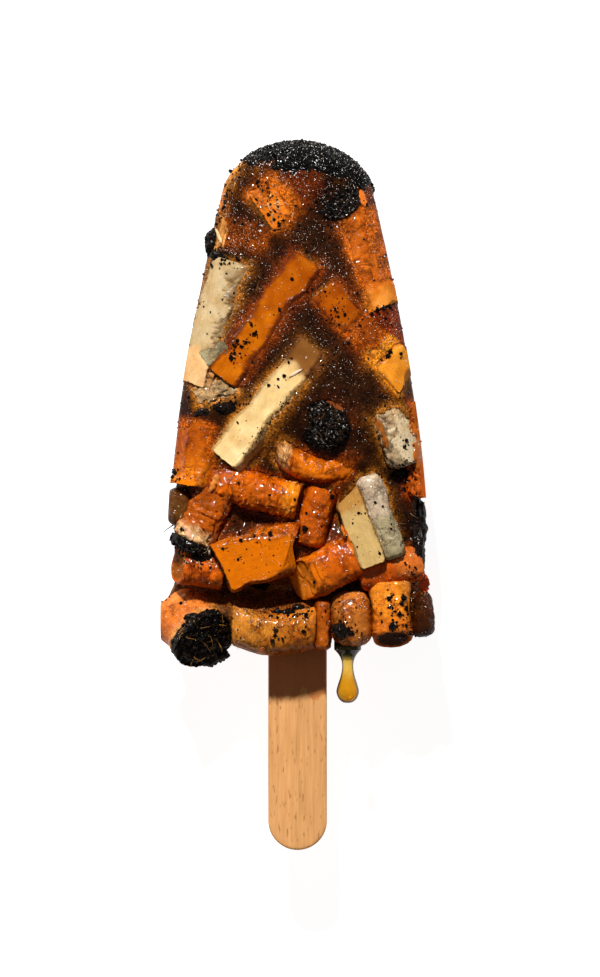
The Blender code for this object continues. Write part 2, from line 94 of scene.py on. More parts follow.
FRONT_BUTTS = (
    Butt("butt_grey_scrap", -13.9, 24.0, 35.0, 4.6, 3.6, 2.8, 0.1, 3.0),
    Butt("butt_bright", -5.4, -10.2, 15.5, 17.6, 9.0, 8.6, 1.8, 2.8, dip=6.0),
    Butt("butt_cream_long", -4.4, 15.2, -128.5, 24.5, 7.1, 7.2, 0.55, lean=1.0),
    Butt("butt_long_diagonal", -4.9, 29.4, -126.0, 24.8, 8.1, 8.0, 0.45, lean=1.1),
    Butt("butt_cream_stub", 10.4, -5.4, -69.5, 13.8, 5.1, 6.0, 0.6, 3.6),
    Butt("butt_grey_stub", 14.1, -3.7, -71.0, 14.8, 4.6, 5.2, 0.1, 3.0),
    Butt("butt_short_diagonal", 11.3, 27.3, -47.0, 20.4, 7.1, 7.0, 0.5),
    Butt("butt_middle_burnt", 5.0, 12.4, 45.0, 10.0, 8.4, 8.2, 0.7, dip=78.0, ember=2.4),
    Butt("butt_tip_burnt", 7.1, 50.1, -50.0, 8.0, 7.3, 7.1, 0.6, dip=80.0, ember=2.2),
    Butt("butt_corner_burnt", -17.7, -22.6, 130.0, 9.4, 10.6, 10.2, -2.0, dip=45.0, ember=2.2),
    Butt("butt_tip_crushed", -1.4, 51.3, 34.0, 12.0, 9.4, 5.0, 0.7, 3.2, dip=4.0),
    Butt("butt_grey_wrinkled", -14.2, 29.1, -106.3, 22.0, 7.5, 7.6, 0.4, 2.8),
    Butt("butt_middle_left", -6.4, 0.5, -14.0, 14.5, 6.8, 7.0, -0.2),
    Butt("butt_lower_middle", 4.5, -12.8, 25.0, 11.5, 7.6, 7.6, 0.7, 2.8, dip=4.0),
    Butt("butt_middle_small", 3.0, -3.8, -104.3, 10.0, 5.6, 6.5, -0.8),
    Butt("butt_bent", 2.8, 5.7, -13.0, 13.8, 5.4, 6.2, -0.4, dip=9.0, bend=-2.5),
    Butt("butt_left_frayed", -17.4, 6.8, 82.0, 10.5, 8.0, 7.8, 0.2),
    Butt("butt_left_wrinkled", -15.3, -3.0, 64.0, 14.4, 7.8, 7.4, -0.6, ember=1.8),
    Butt("butt_silver_crumpled", 16.7, 10.0, -68.6, 10.8, 6.8, 6.6, 0.4, 3.0),
    Butt("butt_right_upper", 12.0, 39.8, -69.0, 17.0, 7.8, 7.6, 0.6, dip=-2.0),
    Butt("butt_right_edge", 16.0, 27.2, -69.0, 9.6, 6.2, 6.6, 0.3),
    Butt("butt_under_stubs", 15.8, -12.4, 11.0, 11.0, 6.4, 7.0, -1.8),
    Butt("butt_bottom_cut", 15.9, -20.4, -86.6, 11.4, 6.9, 7.0, -1.6),
    Butt("butt_bottom_wide", -4.0, -22.8, -1.4, 14.1, 7.4, 8.0, -1.6, 2.8, bend=-1.4),
    Butt("butt_bottom_bulge", 9.1, -21.0, -88.0, 9.4, 7.4, 8.0, -1.4, 2.0),
    Butt("butt_bottom_thin", 4.3, -22.0, -90.0, 8.4, 3.2, 6.4, -2.0),
    Butt("butt_bottom_edge", 20.9, -20.2, -84.8, 7.8, 4.6, 7.4, -3.0),
    Butt("butt_left_cut", -17.0, -12.4, -9.1, 9.2, 6.2, 6.6, -2.0),
    Butt("butt_left_lump", -20.0, -2.0, -90.0, 6.6, 4.4, 6.2, -2.5),
    Butt("butt_edge_strip", 20.0, 7.6, -82.5, 16.4, 4.8, 6.4, -2.0),
    Butt("butt_grey_crumple", -13.6, 17.7, 21.5, 7.6, 5.2, 4.8, -0.2, 3.0),
    Butt("butt_rim_frayed", -9.8, 44.1, -11.0, 9.4, 6.4, 6.4, 0.2),
    Butt("butt_rim_paper", -10.2, 51.9, -117.6, 9.4, 6.0, 6.6, -2.5),
)

BACK_BUTTS = tuple(Butt(f"butt_back_{number}", *row) for number, row in enumerate((
    (-3.0, 50.5, 20.0, 12.0, 7.5, 6.4, 0.3),
    (4.5, 41.0, -55.0, 15.0, 7.8, 6.6, 0.5),
    (-7.5, 38.0, 75.0, 14.0, 7.6, 6.6, 0.4),
    (10.0, 29.5, 62.0, 16.0, 7.6, 6.8, 0.3),
    (-2.5, 26.5, -38.0, 20.0, 7.9, 6.8, 0.6),
    (-13.0, 20.0, 80.0, 15.0, 7.4, 6.8, 0.2),
    (5.0, 14.5, 25.0, 20.0, 7.8, 7.0, 0.6),
    (15.0, 5.0, -75.0, 16.0, 7.4, 7.0, 0.3),
    (-9.0, 6.0, -30.0, 18.0, 7.8, 7.0, 0.5),
    (5.0, 0.5, -62.0, 15.0, 7.8, 7.0, 0.3),
    (-14.5, -5.5, 65.0, 15.0, 7.7, 7.2, 0.4),
    (-3.0, -9.5, 12.0, 17.0, 8.0, 7.2, 0.6),
    (15.0, -13.5, -80.0, 16.0, 7.8, 7.2, 0.4),
    (2.5, -19.5, -18.0, 18.0, 8.0, 7.2, 0.5),
    (-14.0, -18.5, 35.0, 14.0, 7.8, 7.2, 0.3),
), 1))

# A butt's dress: its slot, the paper's colour at its near and far part and where they meet, how deeply
# it is creased, from where on it is crumpled, the stretch that is sunk under the ice and how deep, how
# far each end's cut slants back at the top and at its right side, how far its ends are rounded, how
# deeply its far part is pleated, the colour of its cut ends, and its painted side shade: how much
# darker its sides are painted than its pressed top, with a brown tint. Colours are 0 to 255.
Dress = namedtuple("Dress", "slot near far split crease crumpled_from sunk_from sunk_to sunk "
                            "slant_near slant_far skew_near skew_far round pleat cut flank",
                   defaults=(0.0, 0.12, 99.0, 0.0, 0.0, 0.0, 0.0, 0.0, 0.0, 0.0, 0.3, 0.0,
                             (132, 80, 32), 0.24))
CORK, CREAM, GREY, BROWN = "cork_paper", "cream_paper", "grey_paper", "wet_brown_paper"

DRESSES = {
    "butt_grey_scrap": Dress(GREY, (166, 160, 130), (134, 124, 96), 0.5, 0.36),
    "butt_bright": Dress(CORK, (200, 100, 4), (180, 80, 6), 5.4, 0.05, 4.2, skew_near=1.6, skew_far=6.6,
                        slant_far=1.4),
    "butt_cream_long": Dress(CREAM, (134, 88, 42), (240, 210, 152), -7.4, 0.05, sunk_from=-13.0,
                             sunk_to=-8.6, sunk=0.2, flank=0.6),
    "butt_long_diagonal": Dress(CORK, (190, 98, 8), (206, 112, 10), -2.0, 0.10, flank=0.9),
    "butt_cream_stub": Dress(CREAM, (176, 126, 62), (192, 158, 98), -3.0, 0.10, skew_near=2.4,
                             cut=(150, 96, 40), flank=0.7),
    "butt_grey_stub": Dress(GREY, (206, 184, 156), (172, 158, 122), 0.0, 0.26, round=1.6,
                            cut=(110, 90, 60)),
    "butt_short_diagonal": Dress(CORK, (178, 88, 8), (255, 170, 56), 3.0, 0.12, sunk_from=-3.0,
                                 sunk_to=5.6, sunk=0.6, slant_far=-1.4),
    "butt_middle_burnt": Dress(CORK, (190, 96, 12), (190, 96, 12)),
    "butt_tip_burnt": Dress(CORK, (214, 112, 22), (200, 100, 20)),
    "butt_corner_burnt": Dress(CREAM, (240, 170, 98), (228, 130, 52), -1.6, 0.2, flank=0.0),
    "butt_tip_crushed": Dress(CORK, (240, 136, 40), (122, 50, 4), 0.0, 0.30, -9.0, -1.8, 7.0, 1.0),
    "butt_grey_wrinkled": Dress(CREAM, (202, 180, 140), (232, 190, 138), 5.0, 0.16, -9.5, pleat=0.5,
                                flank=0.5),
    "butt_middle_left": Dress(CORK, (196, 90, 3), (222, 126, 16), 4.0, 0.20, -9.0, slant_far=0.8,
                              cut=(222, 124, 18), flank=0.0),
    "butt_lower_middle": Dress(CORK, (204, 100, 8), (196, 88, 5), 0.0, 0.20, slant_near=3.8,
                               cut=(240, 132, 30), flank=0.1),
    "butt_middle_small": Dress(CORK, (190, 86, 6), (184, 82, 6), 0.0, 0.20, round=1.2, flank=0.1),
    "butt_bent": Dress(CORK, (226, 168, 104), (214, 108, 4), -4.8, 0.26, round=1.8, flank=0.0),
    "butt_left_frayed": Dress(CORK, (224, 118, 10), (210, 108, 8), 0.0, 0.14, sunk_from=-4.2,
                              sunk_to=9.0, sunk=0.45),
    "butt_left_wrinkled": Dress(CORK, (232, 184, 124), (180, 84, 6), -3.4, 0.28, -9.0, flank=0.1),
    "butt_silver_crumpled": Dress(GREY, (218, 196, 160), (200, 178, 142), -1.0, 0.40, -9.0, round=2.4,
                                  flank=0.5),
    "butt_right_upper": Dress(CORK, (224, 122, 34), (252, 160, 64), 5.4, 0.16, sunk_from=-9.0,
                              sunk_to=5.0, sunk=0.44),
    "butt_right_edge": Dress(CORK, (150, 56, 4), (176, 74, 8), 0.0, 0.14, sunk_from=-9.0,
                             sunk_to=3.0, sunk=0.7),
    "butt_under_stubs": Dress(CORK, (216, 92, 4), (222, 116, 40), 1.0, 0.18, round=1.2),
    # Its cut end is painted near black: painted shade on the end that faces away from the key light.
    "butt_bottom_cut": Dress(CORK, (246, 144, 34), (230, 122, 28), 0.0, 0.14, slant_far=3.2,
                             cut=(46, 18, 5)),
    "butt_bottom_wide": Dress(CORK, (194, 120, 36), (190, 108, 26), 0.0, 0.14, round=0.5, flank=0.0),
    "butt_bottom_bulge": Dress(CORK, (206, 118, 40), (208, 124, 46), 0.0, 0.16, round=3.2),
    "butt_bottom_thin": Dress(CORK, (184, 86, 10), (188, 94, 14), 0.0, 0.24, round=1.0),
    "butt_bottom_edge": Dress(BROWN, (74, 34, 4), (66, 30, 4), 0.0, 0.22, round=2.2),
    "butt_left_cut": Dress(CORK, (206, 92, 4), (214, 98, 6), 0.0, 0.14, slant_near=2.6,
                           cut=(140, 72, 14)),
    "butt_left_lump": Dress(BROWN, (100, 58, 18), (108, 66, 20), 0.0, 0.22, round=2.0),
    "butt_edge_strip": Dress(CORK, (206, 108, 14), (196, 88, 8), 0.0, 0.36, -9.0, round=1.0),
    "butt_grey_crumple": Dress(GREY, (226, 196, 152), (204, 174, 130), 0.0, 0.40, -9.0, round=1.0),
    "butt_rim_frayed": Dress(CORK, (234, 168, 100), (164, 82, 12), -3.2, 0.30, -9.0, -2.9, 5.0, 1.0),
    "butt_rim_paper": Dress(CREAM, (224, 170, 104), (214, 130, 60), 0.0, 0.30, -9.0, -9.0, 9.0, 0.3),
}
BACK_CREAM = ("butt_back_3", "butt_back_8", "butt_back_12")
BACK_GREY = ("butt_back_6", "butt_back_15")


def linear(colour):
    """A colour of 0 to 255 as linear light."""
    shares = [channel / 255.0 for channel in colour]
    return np.array([s / 12.92 if s <= 0.04045 else ((s + 0.055) / 1.055) ** 2.4 for s in shares])


def back_dress(number, name):
    """The back's butts vary about three papers."""
    shift = 10 * math.sin(number * 2.4)
    if name in BACK_CREAM:
        return Dress(CREAM, (232 + shift, 196 + shift, 138 + shift), (214, 172, 112), 2.0, 0.12)
    if name in BACK_GREY:
        return Dress(GREY, (176 + shift, 152 + shift, 112 + shift), (150, 128, 92), 1.0, 0.26)
    return Dress(CORK, (208 + shift, 104 + shift, 14), (196 - shift, 94, 14), 3.0,
                 0.10 + 0.10 * (number % 3 == 0), 4.0 - 9.0 * (number % 4 == 1))


def smooth_step(low, high, value):
    """0 up to low, 1 from high on, and a soft rise between them."""
    share = min(1.0, max(0.0, (value - low) / (high - low)))
    return share * share * (3.0 - 2.0 * share)


# The mould's shape

def half_width(station):
    """Half the mould's width at a station."""
    taper = max(0.0, WIDEST_STATION - station) / TAPER_RUN
    width = FULL_HALF_WIDTH - NARROWING * taper ** 1.5
    if station < CAP_DEPTH:
        rise = (CAP_DEPTH - max(station, TIP_START)) / CAP_DEPTH
        width *= (1.0 - rise * rise) ** (1.0 / CAP_ROUNDNESS)
    return width + FLARE * smooth_step(FLARE_START, FLARE_END, station)


def face_heights(station):
    """The heights of the mould's back and front at a station."""
    inset = 0.0
    if station < EDGE_RADIUS:
        fall = EDGE_RADIUS - max(station, TIP_START)
        inset = EDGE_RADIUS - math.sqrt(EDGE_RADIUS ** 2 - fall ** 2)
    return inset, TIP_THICKNESS + THICKENING * max(station, 0.0) - inset


def section_at(station):
    """Half the mould's width at a station, half its thickness, and the height of its middle."""
    low, high = face_heights(station)
    return half_width(station), (high - low) / 2, (low + high) / 2


def bumps(x, y, z, rate, shift=0.0):
    """A soft noise of about -1 to 1, with rate waves to a millimetre."""
    return noise.noise((x * rate, y * rate, z * rate + shift))


def press_into_mould(x, y, z, spare=0.0):
    """Moves a point that stands out of the mould, made larger by spare, back to its wall."""
    wide, tall, middle = section_at(max(TIP_Y - y, 0.0))
    wide, tall = max(0.5, wide + spare), max(0.5, tall + spare)
    radius = min(EDGE_RADIUS, wide, tall)
    x = min(wide, max(-wide, x))
    z = min(middle + tall, max(middle - tall, z))
    over_x = abs(x) - (wide - radius)
    over_z = abs(z - middle) - (tall - radius)
    reach = math.hypot(over_x, over_z)
    if over_x > 0.0 and over_z > 0.0 and reach > radius:
        x = math.copysign(wide - radius + over_x * radius / reach, x)
        z = middle + math.copysign(tall - radius + over_z * radius / reach, z - middle)
    return x, min(y, TIP_Y), z


def section_point(share, wide, tall):
    """A point of a rounded rectangle, share of the way round from the middle of its right side."""
    radius = min(EDGE_RADIUS, wide, tall) * 0.999
    side, face, arc = 2 * (tall - radius), 2 * (wide - radius), math.pi * radius / 2
    walk = (share % 1.0) * (2 * side + 2 * face + 4 * arc)
    if walk <= side / 2:
        return wide, walk
    walk -= side / 2
    for sign_x, sign_z, start, run in ((1, 1, 0, face), (-1, 1, 90, side), (-1, -1, 180, face),
                                       (1, -1, 270, side)):
        turn = math.radians(start) + min(walk, arc) / radius
        x = sign_x * (wide - radius) + radius * math.cos(turn)
        z = sign_z * (tall - radius) + radius * math.sin(turn)
        walk -= arc
        if walk <= run:
            heading = math.radians(start + 180)
            straight = max(walk, 0.0)
            return x + straight * math.cos(heading), z + straight * math.sin(heading)
        walk -= run
    return wide, 0.0


def melt_depth(station, x):
    """How far the ice lies below the mould's front."""
    left = smooth_step(-LEFT_FROM, -LEFT_TO, -x)
    lower = smooth_step(MELT_START, MELT_END, station - MELT_LATE_LEFT * left)
    trench = math.exp(-((station - TRENCH_STATION) / TRENCH_HALF_WIDTH) ** 2)
    ripple = bumps(x, station, 0.0, RIPPLE_RATE, 4.0)
    return ICE_BELOW_FRONT + lower * (MELT_DEPTH + RIPPLE_DEPTH * ripple) + TRENCH_DEPTH * trench


def ice_front(x, y):
    """The height of the ice's front."""
    station = TIP_Y - y
    over = min(max(0.0, abs(x) - (half_width(station) - EDGE_RADIUS)), EDGE_RADIUS)
    rounded = EDGE_RADIUS - math.sqrt(EDGE_RADIUS ** 2 - over ** 2)
    return face_heights(station)[1] - rounded - melt_depth(station, x)


# Meshes

def add_object(name, data):
    obj = bpy.data.objects.new(name, data)
    bpy.context.scene.collection.objects.link(obj)
    return obj


def mesh_object(name, points, faces, look, smooth=True):
    mesh = bpy.data.meshes.new(name)
    mesh.from_pydata((np.asarray(points) * MM).tolist(), [], faces)
    mesh.materials.append(look)
    if smooth:
        mesh.shade_smooth()
    return add_object(name, mesh)


def face_outwards(obj):
    """Turns the faces of closed bodies outwards."""
    bm = bmesh.new()
    bm.from_mesh(obj.data)
    bmesh.ops.recalc_face_normals(bm, faces=bm.faces)
    bm.to_mesh(obj.data)
    bm.free()


def put_attribute(obj, name, values, kind):
    fields = {"FLOAT": "value", "FLOAT_VECTOR": "vector", "FLOAT_COLOR": "color"}
    layer = obj.data.attributes.new(name, kind, "POINT")
    layer.data.foreach_set(fields[kind], np.asarray(values, dtype=np.float32).ravel())


def with_alpha(colours):
    colours = np.asarray(colours, dtype=float)
    return np.hstack((colours, np.ones((len(colours), 1))))


def with_ends(points, sides, first=(0.0, 0.0, 0.0), last=(0.0, 0.0, 0.0)):
    """Adds a point in the middle of the first ring and of the last, moved by first and last."""
    return np.vstack((np.mean(points[:sides], axis=0) + first, points,
                      np.mean(points[-sides:], axis=0) + last))


def ring_faces(rings, sides):
    """Faces of a closed body: a point, rings of sides points and a last point."""
    faces = [(0, 1 + (k + 1) % sides, 1 + k) for k in range(sides)]
    for ring in range(rings - 1):
        base = 1 + ring * sides
        for k in range(sides):
            after = (k + 1) % sides
            faces.append((base + k, base + after, base + sides + after, base + sides + k))
    base = 1 + (rings - 1) * sides
    last = base + sides
    faces += [(base + k, base + (k + 1) % sides, last) for k in range(sides)]
    return faces


# The butts

def crumpled_radius(seed, around, along):
    """The radius of a crushed butt as a share of its plain radius."""
    return 1.0 + CRUMPLE * noise.noise((math.cos(around) * CRUMPLE_RATE,
                                        math.sin(around) * CRUMPLE_RATE,
                                        along * CRUMPLE_ALONG + seed * SEED_STEP))


def butt_axes(butt, on_back):
    """The butt's middle, and the directions along it, across it and out of it."""
    turn, dip = math.radians(butt.turn), math.radians(butt.dip)
    along = Vector((math.cos(turn) * math.cos(dip), math.sin(turn) * math.cos(dip), -math.sin(dip)))
    across = Vector((-math.sin(turn), math.cos(turn), 0.0))
    reach = butt.length / 2 * abs(math.sin(dip)) + butt.thick / 2 * math.cos(dip)
    if on_back:
        height = reach - butt.top
    else:
        height = TIP_THICKNESS + THICKENING * (TIP_Y - butt.y) + butt.top - reach
    return Vector((butt.x, butt.y, height)), along, across, along.cross(across)


def on_section(butt, around):
    """How far a butt reaches sideways and outwards at an angle, as shares of its half sizes."""
    power = 2.0 / butt.square
    wide, thick = math.cos(around), math.sin(around)
    return math.copysign(abs(wide) ** power, wide), math.copysign(abs(thick) ** power, thick)


def even_angles(butt, sides):
    """Angles at which the points of the butt's section are evenly spaced."""
    turns = np.linspace(-math.pi, math.pi, 1441)
    power = 2.0 / butt.square
    wide = np.sign(np.cos(turns)) * np.abs(np.cos(turns)) ** power * butt.width / 2
    thick = np.sign(np.sin(turns)) * np.abs(np.sin(turns)) ** power * butt.thick / 2
    walked = np.concatenate(([0.0], np.cumsum(np.hypot(np.diff(wide), np.diff(thick)))))
    wanted = np.linspace(0.0, walked[-1], sides, endpoint=False)
    return np.interp(wanted, walked, turns), wanted


def rings_along(inner, start, end, step, outer):
    """The share of the radius and the reach of each ring, from one cut end to the other."""
    steps = round((end - start) / step)
    wall = [(1.0, start + (end - start) * k / steps) for k in range(steps + 1)]
    return [(share, start) for share in inner] + wall + [(share, end) for share in outer]


def bowed(butt, reach):
    """How far a bent butt lies sideways of its straight line."""
    return butt.bend * (1.0 - (2.0 * reach / butt.length) ** 2) - butt.bend / 2


def stretch_step(start, end, soft, value):
    """1 on the stretch from start to end, and 0 away from it."""
    return (smooth_step(start - soft, start + soft, value)
            * (1.0 - smooth_step(end - soft, end + soft, value)))


def creases(seed, around, reach, depth, crumpled):
    """How far a wet paper skin is creased inwards: folds across the butt, finer where crumpled."""
    ring_x, ring_y = math.cos(around), math.sin(around)
    fold = noise.noise((ring_x * 1.3, ring_y * 1.3, reach * 0.62 + seed * 3.1))
    fine = noise.noise((ring_x * 3.4 + 5.0, ring_y * 3.4, reach * 1.5 + seed * 1.7))
    narrow = max(0.0, 1.0 - abs(fold) / 0.16)
    sharp = max(0.0, 1.0 - abs(fine) / 0.22)
    plain = depth * (0.9 * narrow ** 1.5 + 0.45 * sharp + 0.5 * (0.5 + fold))
    return plain + crumpled * (0.34 * sharp + 0.30 * (0.5 + fine) + 0.2 * narrow)


CUT_RINGS = (0.0, 0.25, 0.5, 0.72, 0.88, 0.96)
SUNK_EDGE = 0.6
CUT_RUN = 5.0
PLEAT_RATE = 11.0
SHOWN_SINKING = 0.2
CUT_PAPER_SHIFT = 20.0


def butt_mesh(butt, dress, seed, on_back, start, end):
    """Points of the stretch of a butt from start to end, with where each lies on the paper."""
    middle, along, across, outward = butt_axes(butt, on_back)
    angles, arcs = even_angles(butt, BUTT_SIDES)
    rings = rings_along(CUT_RINGS, start, end, BUTT_STEP, reversed(CUT_RINGS))
    points, papers, flats, caps, painted_side_shades = [], [], [], [], []
    for share, reach in rings:
        pairs = [(angles[0], 0.0)] if share == 0.0 else zip(angles, arcs)
        to_end = min(reach - start, end - reach)
        flat = share
        if to_end < dress.round:
            fall = min(1.0, 1.0 - to_end / dress.round)
            flat *= 1.0 - dress.round / butt.width * 1.4 * (1.0 - math.sqrt(1.0 - fall * fall))
        crumpled = smooth_step(dress.crumpled_from, dress.crumpled_from + 2.0, reach)
        sunk = 0.0
        if dress.sunk:
            sunk = dress.sunk * stretch_step(dress.sunk_from, dress.sunk_to, SUNK_EDGE, reach)
        for around, arc in pairs:
            radius = crumpled_radius(seed, around, reach)
            wide, thick = on_section(butt, around)
            inward = creases(seed, around, reach, dress.crease, 0.55 * crumpled) if share > 0.9 else 0.0
            if dress.pleat:
                pleated = smooth_step(butt.length * 0.15, butt.length * 0.4, reach)
                fold = 0.5 + 0.5 * math.sin(around * PLEAT_RATE + reach * 0.2)
                inward += dress.pleat * pleated * fold
            side = flat * wide * (butt.width / 2 * radius - inward)
            out = flat * thick * (butt.thick / 2 * radius - inward)
            height, right = 0.5 + out / butt.thick, 0.5 - side / butt.width
            side += bowed(butt, reach) - butt.lean * thick * flat
            back_near = dress.slant_near * height + dress.skew_near * right
            back_far = dress.slant_far * height + dress.skew_far * right
            spot = reach + back_near * (1.0 - smooth_step(start, start + CUT_RUN, reach))
            spot -= back_far * smooth_step(end - CUT_RUN, end, reach)
            if share < 1.0:
                hollow = 0.35 * (1.0 - share) + 0.25 * noise.noise((side * 1.6, out * 1.6, seed))
                spot += hollow if reach == start else -hollow
            x, y, z = middle + along * spot + across * side + outward * out
            if not on_back:
                z -= THICKENING * (y - butt.y) + 0.5 * sunk
            px, py, pz = press_into_mould(x, y, z, -0.6 * sunk)
            on_wall = share == 1.0
            pushed = 0.0 if sunk > SHOWN_SINKING else abs(px - x) + abs(pz - z)
            flattened = min(1.0, pushed / 0.2) if on_wall else 1.0
            points.append((px, py, pz))
            papers.append((spot, arc, seed * 11.0) if on_wall
                          else (spot + side, out + CUT_PAPER_SHIFT, seed * 11.0))
            flats.append(flattened)
            caps.append(1.0 - share)
            # Painted side shade: where the paper is not pressed flat, it gets the dress's share of
            # darkening.
            painted_side_shades.append(0.0 if sunk > SHOWN_SINKING else (1.0 - flattened) * dress.flank)
    faces = ring_faces(len(rings) - 2, BUTT_SIDES)
    return *(np.array(values) for values in (points, papers, flats, caps, painted_side_shades)), faces


def inside(points, butt, on_back, spare):
    """Which points lie in a butt that is made larger by spare."""
    middle, along, across, outward = (np.array(v) for v in butt_axes(butt, on_back))
    away = points - middle
    if not on_back:
        away[:, 2] += THICKENING * (points[:, 1] - butt.y)
    reach, side, out = away @ along, away @ across, away @ outward
    thick = out / (butt.thick / 2)
    side = side - bowed(butt, reach) + butt.lean * thick
    round_it = (np.abs(side) / (butt.width / 2 + spare)) ** butt.square
    round_it += (np.abs(out) / (butt.thick / 2 + spare)) ** butt.square
    return (round_it < 1.0) & (np.abs(reach) < butt.length / 2 + spare)


# Tints for paper that lies low near the ice: wet soaking and painted contact shade in one.
CORK_SOAK_AND_SHADE, OTHER_SOAK_AND_SHADE = np.array([0.60, 0.46, 0.22]), np.array([0.80, 0.68, 0.52])
# The brown tint of the painted side shade.
PAINTED_SIDE_SHADE = np.array([0.36, 0.235, 0.09])
CALM_BLOTCHES, STRONG_BLOTCHES, CALM_CREASE = 0.14, 0.42, 0.15


def paper_tints(dress, points, papers, caps, painted_side_shades, on_back):
    """The paper's colour: browned near the ice by wet soaking and painted contact shade, with painted
    shade on its sides, and the filter's colour in the cut ends.
    """
    near, far, cut = linear(dress.near), linear(dress.far), linear(dress.cut)
    stain_and_shade = CORK_SOAK_AND_SHADE if dress.slot == CORK else OTHER_SOAK_AND_SHADE
    calm = dress.crease < CALM_CREASE or dress.slot != CORK
    spread = CALM_BLOTCHES if calm else STRONG_BLOTCHES
    tints = np.empty((len(points), 3))
    for i, (x, y, z) in enumerate(points):
        blend = smooth_step(dress.split - 1.0, dress.split + 1.0,
                            papers[i][0] + 1.2 * bumps(x, y, z, 0.8))
        colour = near * (1.0 - blend) + far * blend
        # Painted contact shade and wet soaking: paper that lies low, near the ice's surface, is
        # darkened and browned.
        height = (z - ice_front(x, y)) if not on_back else 0.9
        soak_and_contact_shade = 1.0 - smooth_step(-0.2, 1.3, height + 0.7 * bumps(x, y, 0.0, 0.5, 9.0))
        blotch = 0.5 + 0.5 * bumps(x, y, z, 0.35, 3.0)
        colour = colour * (1.0 - soak_and_contact_shade * (1.0 - stain_and_shade)) * (1.0 - spread / 2 + spread * blotch)
        # Painted side shade: the sides that are not pressed flat are darkened and browned.
        colour = colour * (1.0 - painted_side_shades[i] * (1.0 - PAINTED_SIDE_SHADE))
        if caps[i] > 0.0:
            edge = smooth_step(0.02, 0.2, caps[i])
            colour = colour * (1.0 - edge) + cut * edge
        tints[i] = colour
    return tints


EMBER_RINGS = 14
EMBER_SHARE_ABOVE = 0.35


def ember_mesh(butt, seed, start, end):
    """The burnt end of a butt: a rough, cracked block of char."""
    middle, along, across, outward = butt_axes(butt, False)
    angles, _ = even_angles(butt, EMBER_SIDES)
    inner = [share / EMBER_RINGS for share in range(EMBER_RINGS)]
    rings = rings_along(inner, start, end, EMBER_STEP, (0.6, 0.0))
    points = []
    for share, reach in rings:
        for around in (angles[:1] if share == 0.0 else angles):
            radius = crumpled_radius(seed, around, reach)
            wide, thick = on_section(butt, around)
            flat_side = wide * butt.width / 2 * radius
            flat_out = thick * butt.thick / 2 * radius
            where = Vector((flat_side * share, flat_out * share, reach + seed))
            cell = noise.voronoi(where * 1.15)[0]
            lump = min(1.0, (cell[1] - cell[0]) * 2.2)
            rough = 0.45 * noise.noise(where * 0.9) + 0.22 * noise.noise(where * 3.0)
            side = flat_side * share * (1.0 - 0.05 * (1.0 - lump)) + rough * wide * share * 0.5
            out = flat_out * share * (1.0 - 0.05 * (1.0 - lump)) + rough * thick * share * 0.5
            spot = reach
            if reach == start:
                spot += 0.75 * (1.0 - lump) - 0.2 + rough + 0.5 * share ** 6
            x, y, z = middle + along * spot + across * side + outward * out
            z -= THICKENING * (y - butt.y)
            px, py, pz = press_into_mould(x, y, z)
            points.append((px, py, pz + EMBER_SHARE_ABOVE * (z - pz)))
    return np.array(points), ring_faces(len(rings) - 2, EMBER_SIDES)


LAYER_STEP, LAYER_SPARE = 0.14, 0.1
SHARP_FROM = math.radians(50)


def dressed_piece(name, node, slot, points, faces, looks, attributes=()):
    """A detailed piece in the look that its slot names. It stands for a node and carries attributes."""
    obj = mesh_object(name, points, faces, looks[slot])
    for key, values, kind in attributes:
        put_attribute(obj, key, values, kind)
    face_outwards(obj)
    finish_piece(obj, slot, node)
    return obj


def make_butts(butts, on_back, looks):
    """The detailed butts. Each stays a little below those before it where both are pressed flat."""
    made = []
    for number, butt in enumerate(butts):
        seed = number + (BACK_SEED if on_back else 0)
        dress = back_dress(number, butt.name) if on_back else DRESSES[butt.name]
        start, end = -butt.length / 2 + butt.ember, butt.length / 2
        points, papers, flats, caps, painted_side_shades, faces = butt_mesh(butt, dress, seed, on_back, start, end)
        for other in butts[:number]:
            crossed = inside(points, other, on_back, LAYER_SPARE) & (flats > 0.0)
            points[crossed, 2] += LAYER_STEP if on_back else -LAYER_STEP
        tints = paper_tints(dress, points, papers, caps, painted_side_shades, on_back)
        obj = dressed_piece(butt.name + "_detail", butt.name, dress.slot, points, faces, looks,
                            (("tint", with_alpha(tints), "FLOAT_COLOR"), ("pressed", flats, "FLOAT"),
                             ("paper", papers, "FLOAT_VECTOR")))
        obj.data.set_sharp_from_angle(angle=SHARP_FROM)
        made.append((obj, points, faces, tints))
        if butt.ember:
            burnt = ember_mesh(butt, seed, -butt.length / 2, start - TOUCH_GAP / 2)
            name = butt.name + "_ember"
            obj = dressed_piece(name + "_detail", name, "burnt_end", *burnt, looks)
            made.append((obj, *burnt, None))
    return made


def finish_piece(obj, slot, *nodes):
    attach(obj, "root")
    if nodes:
        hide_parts(*nodes)


# The ice and the ash cap

def ash_end(share):
    """The station at which the ash cap's ragged edge lies, share of the way round."""
    edge_x, _ = section_point(share, half_width(7.0), 8.0)
    turn = share * 2 * math.pi
    ring_x, ring_y = math.cos(turn), math.sin(turn)
    ragged = 1.7 * bumps(ring_x, ring_y, 0.0, 3.5, 2.0) + 0.8 * bumps(ring_x, ring_y, 0.0, 11.0, 7.0)
    return ASH_STATION + ASH_SLANT * edge_x + ragged


